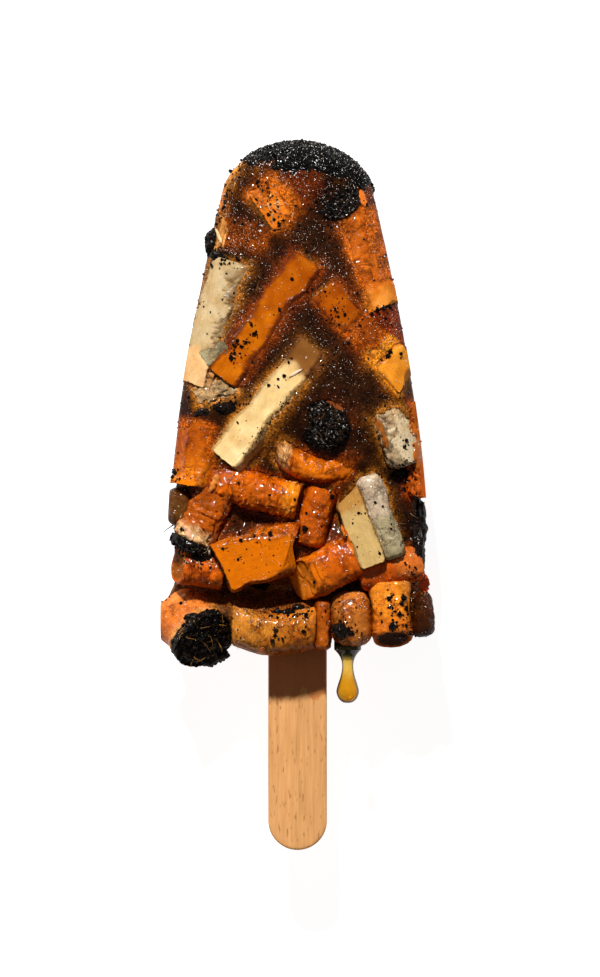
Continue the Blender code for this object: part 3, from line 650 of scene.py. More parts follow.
# Places where the ice has melted away further, or less: x, y, radius and depth.
PITS = (
    (15.9, -26.5, 4.4, 5.0), (-16.5, -26.0, 5.5, 7.0), (-8.0, -2.6, 3.6, 1.6), (0.2, -1.0, 2.0, 1.2),
    (6.2, -1.5, 2.6, 1.2), (2.0, 3.4, 3.0, 1.0), (-6.0, 6.0, 3.0, 1.0), (-11.0, 12.0, 2.5, 0.6),
    (10.5, 5.0, 3.0, 0.9), (17.5, 3.0, 3.0, 1.0), (5.0, 12.4, 5.0, 0.3), (-20.5, -6.5, 3.0, 1.2),
    (20.0, -8.0, 3.5, 1.4), (-13.8, 18.0, 3.2, 0.7), (10.0, 5.6, 2.8, -2.2), (-4.0, -26.5, 8.0, 1.6),
)
ICE_INSIDE, BACK_RECESS = 0.16, 0.30
UNDER_PAPER, UNDER_SPARE = 1.3, 0.3


def pit_depth(x, y):
    """How much deeper the ice has melted there."""
    return sum(depth * math.exp(-((x - px) ** 2 + (y - py) ** 2) / radius ** 2)
               for px, py, radius, depth in PITS)


def keep_under_paper(points, butts):
    """Lowers the ice where a butt covers it, so that none shows through the creased paper."""
    tree, _ = joined_tree([(p, f) for _, p, f, _ in butts])
    for rows, on_back in ((FRONT_BUTTS, False), (BACK_BUTTS, True)):
        way = Vector((0, 0, -1)) if on_back else Vector((0, 0, 1))
        for butt in rows:
            for i in np.nonzero(inside(points, butt, on_back, -UNDER_SPARE))[0]:
                _, _, middle = section_at(TIP_Y - points[i, 1])
                fronting = points[i, 2] > middle
                if fronting != on_back and tree.ray_cast(Vector(points[i]), way)[0] is not None:
                    points[i, 2] -= way.z * UNDER_PAPER


def station_of(row, rows, end):
    """The station of a row of points from the tip to end, closer together near the tip."""
    return TIP_START + (end - TIP_START) * (row / rows) ** ROW_CROWDING


def ice_points():
    """The ice as one closed body that the butts stand out of."""
    points = []
    for row in range(ICE_ROWS + 1):
        station = station_of(row, ICE_ROWS, ICE_END)
        wide, tall, middle = section_at(station)
        over = max(0.0, station - ICE_END + END_ROUNDING)
        drawn_in = 1.0 - (END_ROUNDING - math.sqrt(END_ROUNDING ** 2 - 0.9 * over ** 2)) / wide
        melted = smooth_step(MELT_START, MELT_END, station)
        sideways = 1.0 - (SIDE_MELT * melted + ICE_INSIDE * (1.0 - melted)) / wide
        for k in range(ICE_SEGMENTS):
            end = ash_end(k / ICE_SEGMENTS)
            under_ash = 0.6 * (1.0 - smooth_step(end - 1.9, end - 0.9, station))
            x, z = section_point(k / ICE_SEGMENTS, wide, tall)
            relief = (0.05 + 0.22 * melted) * bumps(x, station, z, 0.45, 20.0)
            relief += (0.02 + 0.09 * melted) * bumps(x, station, z, 1.3, 30.0)
            sunk = melt_depth(station, x) + pit_depth(x, TIP_Y - station)
            height = middle + z - (sunk - relief) * max(0.0, z / tall) ** 0.5
            height += (BACK_RECESS + relief) * max(0.0, -z / tall) ** 0.5
            shrink = drawn_in * sideways * (1.0 + 0.5 * relief / wide) * (1.0 - under_ash / wide)
            points.append((x * shrink, TIP_Y - station, height - under_ash * z / tall))
    return with_ends(points, ICE_SEGMENTS)


def joined_tree(pieces):
    """A search tree of several pieces, and which piece each of its faces is from."""
    all_points, all_faces, owners, first = [], [], [], 0
    for number, (points, faces) in enumerate(pieces):
        all_points.extend(points.tolist())
        all_faces.extend(tuple(i + first for i in face) for face in faces)
        owners.extend([number] * len(faces))
        first += len(points)
    return BVHTree.FromPolygons(all_points, all_faces), owners


# How far the red, green and blue of a paper's glow reach through the ice.
GLOW_REACH = np.array([1.50, 1.36, 0.80])
GLOW_LIMIT, STRAIGHT_LIMIT, SLANTED_WAY = 5.0, 6.0, 2.2
GLOW_TINT = np.array([1.0, 0.35, 0.05])
DARK_ICE = np.array([0.0210, 0.0058, 0.0012])
# In the deep trench the paper's colour is cut back as painted shade and a brown painted fill light is
# added, over this run.
TRENCH_PAINTED_FILL, TRENCH_PAINTED_LIGHT_RUN = np.array([0.16, 0.05, 0.010]), 3.4
EMBER_LIMIT, EMBER_SHADE, EMBER_REACH = 3.0, 0.75, 0.8


def ice_tints(obj, points, butts):
    """Dark frozen liquid that glows with the colour of the paper just under its surface, with painted
    shade and a painted brown fill light in the deep trench, and darker near the burnt ends.
    """
    papers = [(p, f, tints) for _, p, f, tints in butts if tints is not None]
    tree, _ = joined_tree([(p, f) for p, f, _ in papers])
    ember_tree, _ = joined_tree([(p, f) for _, p, f, tints in butts if tints is None])
    face_colours = [tints[face[0]] for _, faces, tints in papers for face in faces]
    tints = np.tile(DARK_ICE, (len(points), 1))
    nearness = np.zeros(len(points))
    for i, point in enumerate(points):
        place = Vector(point)
        _, _, index, distance = tree.find_nearest(place, GLOW_LIMIT)
        if index is not None:
            normal = obj.data.vertices[i].normal
            _, _, hit, depth = tree.ray_cast(place + normal * 0.02, -normal, STRAIGHT_LIMIT)
            way = distance * SLANTED_WAY
            if hit is not None and depth < way:
                way, index = depth, hit
            cloud = 0.8 + 0.6 * noise.noise(place * 0.35)
            paper = face_colours[index]
            glow = np.exp(-way / (GLOW_REACH * cloud))
            saturated = np.minimum(paper, paper[0] * GLOW_TINT)
            # Painted shade and painted fill light in the trench: less of the paper's colour, plus a
            # brown lift.
            trench = math.exp(-((TIP_Y - point[1] - TRENCH_STATION) / TRENCH_PAINTED_LIGHT_RUN) ** 2)
            tints[i] += (1.0 - 0.7 * trench) * saturated * glow + trench * TRENCH_PAINTED_FILL
            nearness[i] = math.exp(-way)
        _, _, index, distance = ember_tree.find_nearest(place, EMBER_LIMIT)
        if index is not None:
            tints[i] *= 1.0 - EMBER_SHADE * math.exp(-distance / EMBER_REACH)
    put_attribute(obj, "tint", with_alpha(tints), "FLOAT_COLOR")
    put_attribute(obj, "near", nearness, "FLOAT")


def make_ice(butts, looks):
    points = ice_points()
    keep_under_paper(points, butts)
    faces = ring_faces(ICE_ROWS + 1, ICE_SEGMENTS)
    obj = mesh_object("ice_detail", points, faces, looks["dark_ice"])
    face_outwards(obj)
    ice_tints(obj, points, butts)
    finish_piece(obj, "dark_ice", "ice")
    return points, faces


def make_ash_cap(looks):
    """The cap of ash grains that the tip was dipped in, with a ragged lower edge."""
    points = []
    for row in range(ASH_ROWS + 1):
        for k in range(ASH_SEGMENTS):
            share = k / ASH_SEGMENTS
            station = station_of(row, ASH_ROWS, ash_end(share))
            wide, tall, middle = section_at(station)
            x, z = section_point(share, wide, tall)
            rough = 0.30 * bumps(x, station, z, 1.1) + 0.22 * bumps(x, station, z, 2.6)
            thin = 0.5 * smooth_step(0.9, 1.0, row / ASH_ROWS)
            height = middle + z - (ICE_BELOW_FRONT - rough) * max(0.0, z / tall) ** 0.5
            grow = 1.0 + (rough + 0.1 - thin) / wide
            points.append((x * grow, TIP_Y - station, height - thin * z / tall))
    points = with_ends(points, ASH_SEGMENTS, (0.0, 0.3, 0.0), (0.0, 1.0, 0.0))
    faces = ring_faces(ASH_ROWS + 1, ASH_SEGMENTS)
    dressed_piece("ash_tip_detail", "ash_tip", "ash", points, faces, looks)
    return points, faces


# Grains and specks

def ball(level):
    """Points and faces of an icosphere of radius 1."""
    bm = bmesh.new()
    bmesh.ops.create_icosphere(bm, subdivisions=level, radius=1.0)
    points = np.array([vertex.co[:] for vertex in bm.verts])
    faces = np.array([[vertex.index for vertex in face.verts] for face in bm.faces])
    bm.free()
    return points, faces


class Heap:
    """Many small closed bodies gathered into one mesh."""

    def __init__(self):
        self.points = []
        self.faces = []
        self.tints = []
        self.count = 0

    def add(self, points, faces, tint=None):
        self.points.append(points)
        self.faces.append(faces + self.count)
        self.count += len(points)
        if tint is not None:
            self.tints.append(np.tile(linear(tint), (len(points), 1)))

    def object(self, name, look, slot, smooth=False):
        faces = np.vstack(self.faces).tolist()
        obj = mesh_object(name, np.vstack(self.points), faces, look, smooth)
        if self.tints:
            put_attribute(obj, "tint", with_alpha(np.vstack(self.tints)), "FLOAT_COLOR")
        finish_piece(obj, slot)


def turned(rng, points):
    """The points turned to a random side."""
    matrix, _ = np.linalg.qr(rng.normal(size=(3, 3)))
    if np.linalg.det(matrix) < 0:
        matrix[:, 0] *= -1
    return points @ matrix


GRAIN_BALL = ball(1)
CLINKER_BALL = ball(4)


def add_grain(heap, rng, place, size):
    """A sharp crumb of ash."""
    points, faces = GRAIN_BALL
    jagged = points * rng.uniform(0.62, 1.2, (len(points), 1))
    stretch = rng.uniform(0.65, 1.15, 3)
    heap.add(turned(rng, jagged * stretch) * size + place, faces)


def add_clinker(heap, place, radii, seed):
    """A lump of burnt tobacco: cracked and grainy."""
    points, faces = CLINKER_BALL
    moved = []
    for point in points * np.array(radii):
        where = Vector(point)
        cell = noise.voronoi(where * 1.2 + Vector((seed, 0, 0)))[0]
        rough = 0.9 + 0.30 * noise.noise(where * 0.7 + Vector((0, seed, 0)))
        rough += 0.16 * min(1.0, (cell[1] - cell[0]) * 2.0) - 0.08
        rough += 0.08 * noise.noise(where * 3.5)
        moved.append(point * rough)
    heap.add(np.array(moved) + place, faces)


# The photograph's scale, the column of the pop's middle, the row of its tip, and a height above all.
PIXELS_PER_MM, MIDDLE_COLUMN, TIP_ROW = 5.9, 297.5, 138.0
ABOVE_ALL = 40.0


def from_pixel(px, py):
    """The place across and along the pop that a pixel of the photograph shows."""
    return (px - MIDDLE_COLUMN) / PIXELS_PER_MM, TIP_Y - (py - TIP_ROW) / PIXELS_PER_MM


def seen_from_front(tree, x, y):
    """The place and slope of the surface that is seen there from the front."""
    return tree.ray_cast(Vector((x, y, ABOVE_ALL)), Vector((0, 0, -1)))[:2]


def front_spot(tree, px, py):
    return seen_from_front(tree, *from_pixel(px, py))


TIP_SHARE = 0.04


def random_spots(tree, rng, count, front_share):
    """Places all over the pop, most of them on its front."""
    spots = []
    while len(spots) < count:
        y = rng.uniform(-25.0, 60.8)
        if rng.uniform() < TIP_SHARE:
            start = Vector((rng.uniform(-14.0, 14.0), 80.0, rng.uniform(0.0, 17.0)))
            way = Vector((0, -1, 0))
        elif rng.uniform() < front_share:
            start = Vector((rng.uniform(-23.5, 23.5), y, ABOVE_ALL))
            way = Vector((0, 0, -1))
        else:
            angle = rng.uniform(0.0, 2 * math.pi)
            way = Vector((-math.cos(angle), 0.0, -math.sin(angle)))
            offset = rng.uniform(-22.0, 22.0)
            start = Vector((0, y, 10.0)) - way * 60 + Vector((-way.z, 0, way.x)) * offset
        place, normal, index, _ = tree.ray_cast(start, way)
        if place is not None:
            spots.append((place, normal, index))
    return spots


# Ash crumbs that the photograph shows one by one: its pixel, and the crumb's size in millimetres.
CRUMBS = (
    (279.4, 309.7, 0.42), (254.0, 333.6, 0.62), (251.3, 325.0, 0.38), (237.0, 341.0, 0.45),
    (245.6, 342.3, 0.42), (233.5, 345.0, 0.38), (241.0, 346.5, 0.35), (234.0, 353.0, 0.42),
    (231.5, 358.0, 0.50), (233.5, 363.6, 0.20), (226.8, 273.4, 0.22), (222.6, 299.4, 0.20),
    (325.0, 291.5, 0.28), (335.0, 308.8, 0.38), (330.7, 310.6, 0.26), (336.4, 311.6, 0.24),
    (338.3, 316.4, 0.36), (344.6, 314.5, 0.36), (339.3, 324.6, 0.26), (337.4, 298.6, 0.18),
    (342.2, 298.6, 0.18), (388.0, 356.0, 0.55), (390.5, 352.5, 0.48), (400.5, 353.7, 0.48),
    (291.5, 358.5, 0.26), (268.5, 385.3, 0.30), (278.5, 387.2, 0.28), (285.8, 380.0, 0.20),
    (270.5, 534.4, 0.55), (254.8, 536.4, 0.45), (241.0, 540.3, 0.42), (257.3, 542.0, 0.28),
    (238.4, 559.0, 0.36), (222.7, 548.2, 0.16), (305.0, 528.5, 0.55), (330.8, 497.0, 0.62),
    (168.8, 462.0, 0.60), (168.4, 468.0, 0.66), (175.7, 473.0, 0.62), (173.5, 477.0, 0.5),
    (181.6, 529.4, 0.52), (178.6, 541.0, 0.60), (173.8, 543.5, 0.50), (184.0, 545.0, 0.50),
    (165.8, 594.6, 0.55), (164.2, 599.0, 0.45), (159.0, 613.4, 0.42), (428.6, 572.0, 0.48),
    (423.7, 581.8, 0.55), (421.0, 586.0, 0.40), (276.5, 611.4, 0.60), (280.0, 613.0, 0.55),
    (288.3, 613.4, 0.66), (293.0, 612.0, 0.52), (306.0, 615.4, 0.58), (304.0, 631.0, 0.50),
    (276.5, 630.0, 0.46), (272.5, 640.0, 0.52), (275.0, 635.0, 0.36), (392.0, 626.0, 0.78),
    (388.5, 598.0, 0.46), (391.5, 596.0, 0.42), (403.0, 598.0, 0.62), (405.0, 607.5, 0.66),
    (399.0, 613.4, 0.50), (401.0, 603.0, 0.48), (339.7, 601.6, 0.26), (355.5, 607.5, 0.26),
    (343.0, 604.0, 0.20), (371.3, 604.5, 0.34), (335.5, 609.0, 0.22), (263.5, 588.0, 0.7),
    (241.8, 158.7, 0.42), (231.3, 170.0, 0.52), (222.6, 181.6, 0.60), (219.5, 186.0, 0.50),
    (217.0, 193.0, 0.48), (216.0, 203.0, 0.50), (218.0, 208.5, 0.42), (226.5, 176.0, 0.40),
    (415.0, 497.0, 0.50), (404.0, 489.0, 0.40), (257.0, 181.0, 0.44), (262.0, 190.0, 0.40),
    (256.0, 199.0, 0.36), (268.0, 214.0, 0.38), (274.0, 219.0, 0.34), (279.0, 223.5, 0.36),
    (258.5, 186.0, 0.34), (360.5, 186.5, 0.42), (367.0, 204.0, 0.34), (377.0, 309.5, 0.46),
    (383.5, 309.0, 0.50), (390.0, 307.5, 0.44), (372.0, 313.5, 0.4), (406.0, 441.0, 0.44),
    (404.0, 447.5, 0.36), (358.5, 513.0, 0.26), (374.5, 502.5, 0.36), (379.0, 553.0, 0.3),
)

# Burnt lumps: pixel of the middle, its height above the surface there, and its radii across, along
# and out of the pop.
CLINKERS = (
    ((212.5, 243.0), -0.5, (1.5, 2.5, 1.6)),
    ((219.5, 255.5), -0.5, (1.8, 1.2, 1.2)),
    ((224.0, 408.5), -0.2, (2.3, 1.15, 1.0)),
    ((203.0, 413.0), -0.4, (2.0, 1.0, 0.8)),
    ((401.5, 470.5), -0.5, (1.9, 1.9, 1.2)),
    ((416.0, 524.0), -1.2, (2.0, 5.6, 2.2)),
    ((418.0, 552.0), -1.4, (1.3, 4.0, 2.0)),
    ((343.0, 630.5), -0.2, (2.1, 1.55, 1.2)),
    ((200.0, 557.5), -0.2, (2.0, 1.0, 1.0)),
    ((259.7, 583.8), -0.3, (1.8, 1.1, 1.0)),
    ((282.0, 612.5), -0.3, (2.4, 0.6, 0.6)),
    ((297.5, 609.5), -0.5, (1.4, 1.0, 0.8)),
    ((219.0, 653.0), -0.8, (1.7, 2.0, 1.2)),
    ((226.0, 635.0), -0.8, (1.3, 2.2, 1.2)),
    ((208.0, 660.0), -0.8, (1.8, 1.3, 1.2)),
    ((192.0, 617.0), -0.3, (1.5, 0.9, 0.7)),
)

# Bands of small specks: the pixels of both ends, the spread in pixels, how many, and their sizes.
BANDS = (
    ((241.0, 457.0), (289.0, 396.0), 2.0, 80, 0.06, 0.17),
    ((232.0, 360.0), (252.0, 334.0), 4.0, 34, 0.10, 0.26),
    ((262.0, 181.0), (284.0, 226.0), 3.0, 46, 0.10, 0.26),
    ((213.0, 232.0), (240.0, 162.0), 2.2, 60, 0.12, 0.30),
    ((268.0, 612.0), (312.0, 612.0), 3.0, 50, 0.12, 0.32),
    ((388.0, 600.0), (410.0, 640.0), 5.0, 60, 0.10, 0.32),
    ((330.0, 622.0), (356.0, 636.0), 6.0, 50, 0.12, 0.34),
    ((240.0, 546.0), (300.0, 560.0), 9.0, 26, 0.06, 0.14),
    ((168.0, 470.0), (176.0, 480.0), 6.0, 18, 0.10, 0.28),
    ((176.0, 546.0), (206.0, 560.0), 5.0, 44, 0.12, 0.34),
    ((240.0, 615.0), (325.0, 640.0), 10.0, 50, 0.06, 0.18),
    ((345.0, 600.0), (372.0, 606.0), 7.0, 22, 0.06, 0.16),
    ((322.0, 300.0), (350.0, 325.0), 8.0, 30, 0.07, 0.18),
    ((212.0, 408.0), (240.0, 404.0), 5.0, 50, 0.10, 0.30),
    ((355.0, 500.0), (395.0, 560.0), 9.0, 26, 0.05, 0.14),
    ((208.0, 250.0), (232.0, 262.0), 5.0, 60, 0.12, 0.34),
    ((390.0, 480.0), (412.0, 462.0), 5.0, 50, 0.10, 0.30),
    ((404.0, 560.0), (430.0, 600.0), 4.0, 36, 0.10, 0.28),
)


CRUMB_COUNT, SAND_COUNT, FROST_COUNT = 1500, 30000, 64000


def make_ash_crumbs(tree, owners, kinds, looks):
    rng = np.random.default_rng(SEED)
    lumps = Heap()
    for number, ((px, py), rise, radii) in enumerate(CLINKERS):
        place, _ = front_spot(tree, px, py)
        add_clinker(lumps, np.array(place) + np.array((0, 0, rise)), radii, 17.0 * number)
    lumps.object("char_lumps", looks["burnt_end"], "burnt_end", smooth=True)

    crumbs = Heap()

    def drop(px, py, size):
        place, normal = front_spot(tree, px, py)
        if place is not None:
            add_grain(crumbs, rng, np.array(place + normal * size * 0.35), size)

    for px, py, size in CRUMBS:
        drop(px, py, size)
        for _ in range(3):
            drop(px + rng.normal() * 2.4, py + rng.normal() * 2.4, size * rng.uniform(0.25, 0.5))
    for (ax, ay), (bx, by), spread, count, small, large in BANDS:
        for _ in range(count):
            share = rng.uniform()
            drop(ax + (bx - ax) * share + rng.normal() * spread,
                 ay + (by - ay) * share + rng.normal() * spread, rng.uniform(small, large))
    for place, normal, index in random_spots(tree, rng, CRUMB_COUNT, 0.5):
        kind = kinds[owners[index]]
        size = 0.06 + 0.30 * rng.uniform() ** 4
        if kind == "paper" and rng.uniform() < 0.5:
            continue
        add_grain(crumbs, rng, np.array(place + normal * size * 0.3), size)
    crumbs.object("ash_crumbs", looks["ash"], "ash")

    sand = Heap()
    for place, normal, index in random_spots(tree, rng, SAND_COUNT, 0.42):
        kind = kinds[owners[index]]
        if kind == "ash":
            size = rng.uniform(0.10, 0.27)
        elif kind == "ember" and rng.uniform() < 0.55:
            size = rng.uniform(0.12, 0.36)
        else:
            continue
        add_grain(sand, rng, np.array(place + normal * size * 0.2), size)
    sand.object("ash_sand", looks["ash"], "ash")


# The stretch of the painted glint streaks on the paper.
GLINT_STREAK_STRETCH = np.array((0.6, 0.6, 2.4))


def make_frost_and_glints(tree, owners, kinds, looks):
    """White specks of frost, dense over the dark upper half and the ash, which also stand in for the
    ice's glints; on the paper they are painted glints, most on sides that face the key light.
    """
    rng = np.random.default_rng(SEED + 1)
    corners = np.array([(1, 1, 1), (1, -1, -1), (-1, 1, -1), (-1, -1, 1)]) / math.sqrt(3.0)
    faces = np.array([(0, 1, 2), (0, 3, 1), (0, 2, 3), (1, 3, 2)])
    frost = Heap()
    for place, normal, index in random_spots(tree, rng, FROST_COUNT, 0.6):
        station = TIP_Y - place.y
        kind = kinds[owners[index]]
        patch = 0.5 + 0.7 * noise.noise(place * 0.22 + Vector((7.0, 0.0, 0.0)))
        # On the paper the specks are painted glints: most where the surface faces +Y, towards the key
        # light.
        if kind == "paper":
            wanted = 0.03 + 0.50 * smooth_step(0.05, 0.60, normal.y) * max(0.0, patch)
        elif kind == "ash":
            wanted = 0.36
        elif kind == "ember":
            wanted = 0.34 - 0.2 * smooth_step(40.0, 70.0, station)
        else:
            wanted = (0.42 - 0.34 * smooth_step(18.0, 56.0, station)) * patch
        if rng.uniform() > wanted:
            continue
        size = 0.042 + 0.078 * rng.uniform() ** 4
        shape = corners * rng.uniform(0.7, 1.3, (4, 1)) * size
        if kind == "paper":
            shape = shape * GLINT_STREAK_STRETCH
        frost.add(turned(rng, shape) + np.array(place + normal * (0.04 + size * 0.3)), faces)
    made = mesh_object("frost_and_glint_specks", np.vstack(frost.points), np.vstack(frost.faces).tolist(),
                       looks["frost"], False)
    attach(made, "root")


# The stick, the drip and the twig

SOFT_EDGE, ROUND_STEPS, STRAIGHT_STEPS = 0.42, 40, 90


def make_stick(looks):
    """A flat stick with round ends and softened edges."""
    slope = math.atan(THICKENING / 2)
    middle_y = STICK_LENGTH / 2 - TIP_Y
    rise = (TIP_THICKNESS + THICKENING * (TIP_Y - middle_y)) / 2
    lower = [(inset, -STICK_THICKNESS / 2) for inset in (4.9, 3.6, 2.2, 1.0)]
    lower += [(SOFT_EDGE * (1.0 - math.sin(a)), SOFT_EDGE * (1.0 - math.cos(a)) - STICK_THICKNESS / 2)
              for a in np.linspace(0.0, math.pi / 2, 6)]
    levels = lower + [(inset, -level) for inset, level in reversed(lower)]
    run = STICK_LENGTH / 2 - STICK_WIDTH / 2
    rings = []
    for inset, level in levels:
        half = STICK_WIDTH / 2 - inset
        ring = []
        for side, first in ((1, -90), (-1, 90)):
            for step in range(ROUND_STEPS + 1):
                angle = math.radians(first + 180.0 * step / ROUND_STEPS)
                ring.append((side * run + half * math.cos(angle), half * math.sin(angle)))
            for step in range(1, STRAIGHT_STEPS):
                share = step / STRAIGHT_STEPS
                ring.append((side * run * (1 - 2 * share), side * half))
        rings.append([(u, v, level) for u, v in ring])
    sides = len(rings[0])
    flat = [(0.0, 0.0, levels[0][1])] + [p for ring in rings for p in ring]
    flat.append((0.0, 0.0, levels[-1][1]))
    points = []
    for u, v, w in flat:
        w += 0.03 * noise.noise((u * 0.12, v * 0.4, 5.0)) * (1.0 if w > 0 else -1.0)
        x, y = -v, u * math.cos(slope) + w * math.sin(slope) + middle_y
        points.append((x, y, -u * math.sin(slope) + w * math.cos(slope) + rise))
    dressed_piece("stick_detail", "stick", "beech", points, ring_faces(len(rings), sides), looks)


def smooth_profile(profile, parts):
    """More points on a smooth curve through a profile's points."""
    made = []
    for i in range(len(profile) - 1):
        before, first = profile[max(i - 1, 0)], profile[i]
        second, after = profile[i + 1], profile[min(i + 2, len(profile) - 1)]
        for part in range(parts):
            t = part / parts
            made.append(tuple(
                0.5 * (2 * b + (c - a) * t + (2 * a - 5 * b + 4 * c - d) * t * t
                       + (3 * b - a - 3 * c + d) * t ** 3)
                for a, b, c, d in zip(before, first, second, after)))
    return made + [profile[-1]]


DRIP_SIDES = 48
AMBER, PALE_AMBER = linear((206, 142, 18)), linear((232, 190, 84))
NECK, COLLAR, DRIP_END = linear((88, 90, 20)), linear((34, 32, 12)), linear((58, 44, 10))


def blended(first, second, share):
    return first * (1 - share) + second * share


def make_drip(looks):
    """A hanging drop of melted liquid, dark at its neck and paler amber in its upper middle, which is
    painted light coming through the drop.
    """
    curve = smooth_profile(DRIP_PROFILE[:-1] + (DRIP_ROOT,), 5)[1:]
    points, tints = [(DRIP_X, DRIP_TOP_Y - DRIP_PROFILE[0][0], DRIP_Z)], [linear((206, 140, 18))]
    for height, radius in curve:
        # Painted light: the upper middle of the drop is paler amber.
        amber = blended(PALE_AMBER, AMBER, smooth_step(2.4, 6.0, height))
        dark = blended(COLLAR, NECK, smooth_step(0.3, 1.1, height))
        shade = blended(dark, amber, smooth_step(0.9, 1.9, height))
        shade = shade * (1 - 0.35 * smooth_step(7.5, 9.2, height))
        for k in range(DRIP_SIDES):
            turn = 2 * math.pi * k / DRIP_SIDES
            points.append((DRIP_X + max(radius, 0.02) * math.cos(turn), DRIP_TOP_Y - height,
                           DRIP_Z + max(radius, 0.02) * math.sin(turn)))
            tints.append(shade)
    points.append((DRIP_X, DRIP_TOP_Y - DRIP_ROOT[0], DRIP_Z))
    tints.append(DRIP_END)
    dressed_piece("drip_detail", "drip", "amber_melt", points, ring_faces(len(curve), DRIP_SIDES),
                  looks, (("tint", with_alpha(tints), "FLOAT_COLOR"),))


# Loose strands of tobacco: the pixel of the middle, the spread in pixels, how many, and the colour.
STRANDS = (
    ((203.0, 640.0), 15.0, 46, (176, 122, 48)), ((245.0, 520.0), 13.0, 26, (120, 70, 28)),
    ((253.0, 284.0), 9.0, 16, (112, 66, 26)), ((325.0, 425.0), 12.0, 10, (90, 60, 30)),
    ((343.0, 631.0), 5.0, 8, (150, 64, 20)), ((205.0, 556.0), 8.0, 12, (206, 170, 120)),
    ((219.0, 233.0), 4.0, 12, (240, 190, 120)), ((418.0, 522.0), 9.0, 7, (150, 120, 90)),
    ((285.0, 612.0), 14.0, 8, (120, 70, 28)), ((230.0, 172.0), 6.0, 8, (236, 176, 104)),
    # The pale strands on the crushed butt's end also stand in for its white highlights, as painted
    # highlights.
    ((277.0, 204.0), 5.0, 12, (240, 200, 150)),
)
TWIG = ((-20.9, -5.0, 15.5), (-21.9, -5.6, 15.9), (-22.9, -6.4, 15.6))
STRAND_SIDES, STRAND_STEPS = 5, 9


def add_strand(heap, start, bend, end, thick, tint):
    """A thin strand that narrows from its start to its end."""
    up = np.array((0.0, 0.0, 1.0))
    across = np.cross(end - start, up)
    across = across / (np.linalg.norm(across) + 1e-9)
    rings = []
    for step in range(STRAND_STEPS + 1):
        t = step / STRAND_STEPS
        middle = start * (1 - t) ** 2 + 2 * bend * t * (1 - t) + end * t * t
        radius = thick * (1.0 - 0.7 * t)
        for k in range(STRAND_SIDES):
            turn = 2 * math.pi * k / STRAND_SIDES
            rings.append(middle + radius * (across * math.cos(turn) + up * math.sin(turn)))
    points = np.vstack((start, rings, end))
    triangles = []
    for face in ring_faces(STRAND_STEPS + 1, STRAND_SIDES):
        triangles.append(face[:3])
        if len(face) == 4:
            triangles.append((face[0], face[2], face[3]))
    heap.add(points, np.array(triangles), tint)


def make_threads(tree, looks):
    """Thin strands of tobacco and paper fibre, and a twig that sticks out at the left."""
    rng = np.random.default_rng(SEED + 2)
    threads = Heap()
    add_strand(threads, *(np.array(p) for p in TWIG), 0.14, (70, 34, 10))
    for (px, py), spread, count, colour in STRANDS:
        for _ in range(count):
            place, normal = front_spot(tree, px + rng.normal() * spread, py + rng.normal() * spread)
            if place is None or normal.z < 0.3:
                continue
            turn, length = rng.uniform(0.0, 2 * math.pi), rng.uniform(0.9, 2.6)
            way = Vector((math.cos(turn), math.sin(turn), 0.0))
            way = (way - normal * way.dot(normal)).normalized() * length
            side = normal.cross(way).normalized() * rng.uniform(-0.6, 0.6)
            low = place + normal * 0.02
            shade = rng.uniform(0.7, 1.15)
            add_strand(threads, np.array(low), np.array(low + way * 0.5 + side + normal * 0.35),
                       np.array(low + way - normal * 0.05), rng.uniform(0.045, 0.085),
                       tuple(min(255.0, channel * shade) for channel in colour))
    threads.object("tobacco_threads", looks[BROWN], BROWN, smooth=True)


# Loose bits of paper: the pixel of the middle, width and length, turn of the length from +Y towards
# +X in degrees, rise, and colour.
FLAKES = (
    ((363.0, 197.0), 1.0, 3.0, -14.0, 0.10, (228, 120, 36)),
    ((188.5, 533.0), 1.3, 2.9, -32.0, 0.30, (226, 176, 134)),
    ((209.5, 553.0), 0.5, 3.0, -14.0, 0.25, (238, 214, 180)),
    ((424.0, 583.0), 1.9, 3.2, -8.0, 0.10, (226, 92, 30)),
    ((296.0, 373.0), 0.5, 2.6, 60.0, 0.30, (228, 200, 172)),
    ((214.5, 483.0), 1.1, 3.2, 22.0, 0.30, (212, 126, 44)),
    ((335.0, 406.0), 0.8, 3.4, -62.0, 0.15, (130, 66, 26)),
    ((382.0, 434.0), 1.2, 5.6, -20.0, 0.20, (150, 84, 26)),
    ((415.0, 446.0), 1.7, 8.2, -8.0, 0.15, (176, 92, 18)),
    ((347.5, 540.0), 0.9, 5.6, -22.0, 0.10, (214, 112, 30)),
    ((262.0, 649.0), 0.6, 1.0, 70.0, 0.10, (228, 120, 60)),
    ((218.0, 235.0), 0.6, 3.2, -24.0, 0.35, (244, 206, 150)),
    ((224.0, 240.0), 0.4, 2.4, 12.0, 0.30, (236, 170, 96)),
)
FLAKE_ACROSS, FLAKE_ALONG, FLAKE_THICKNESS = 5, 14, 0.14


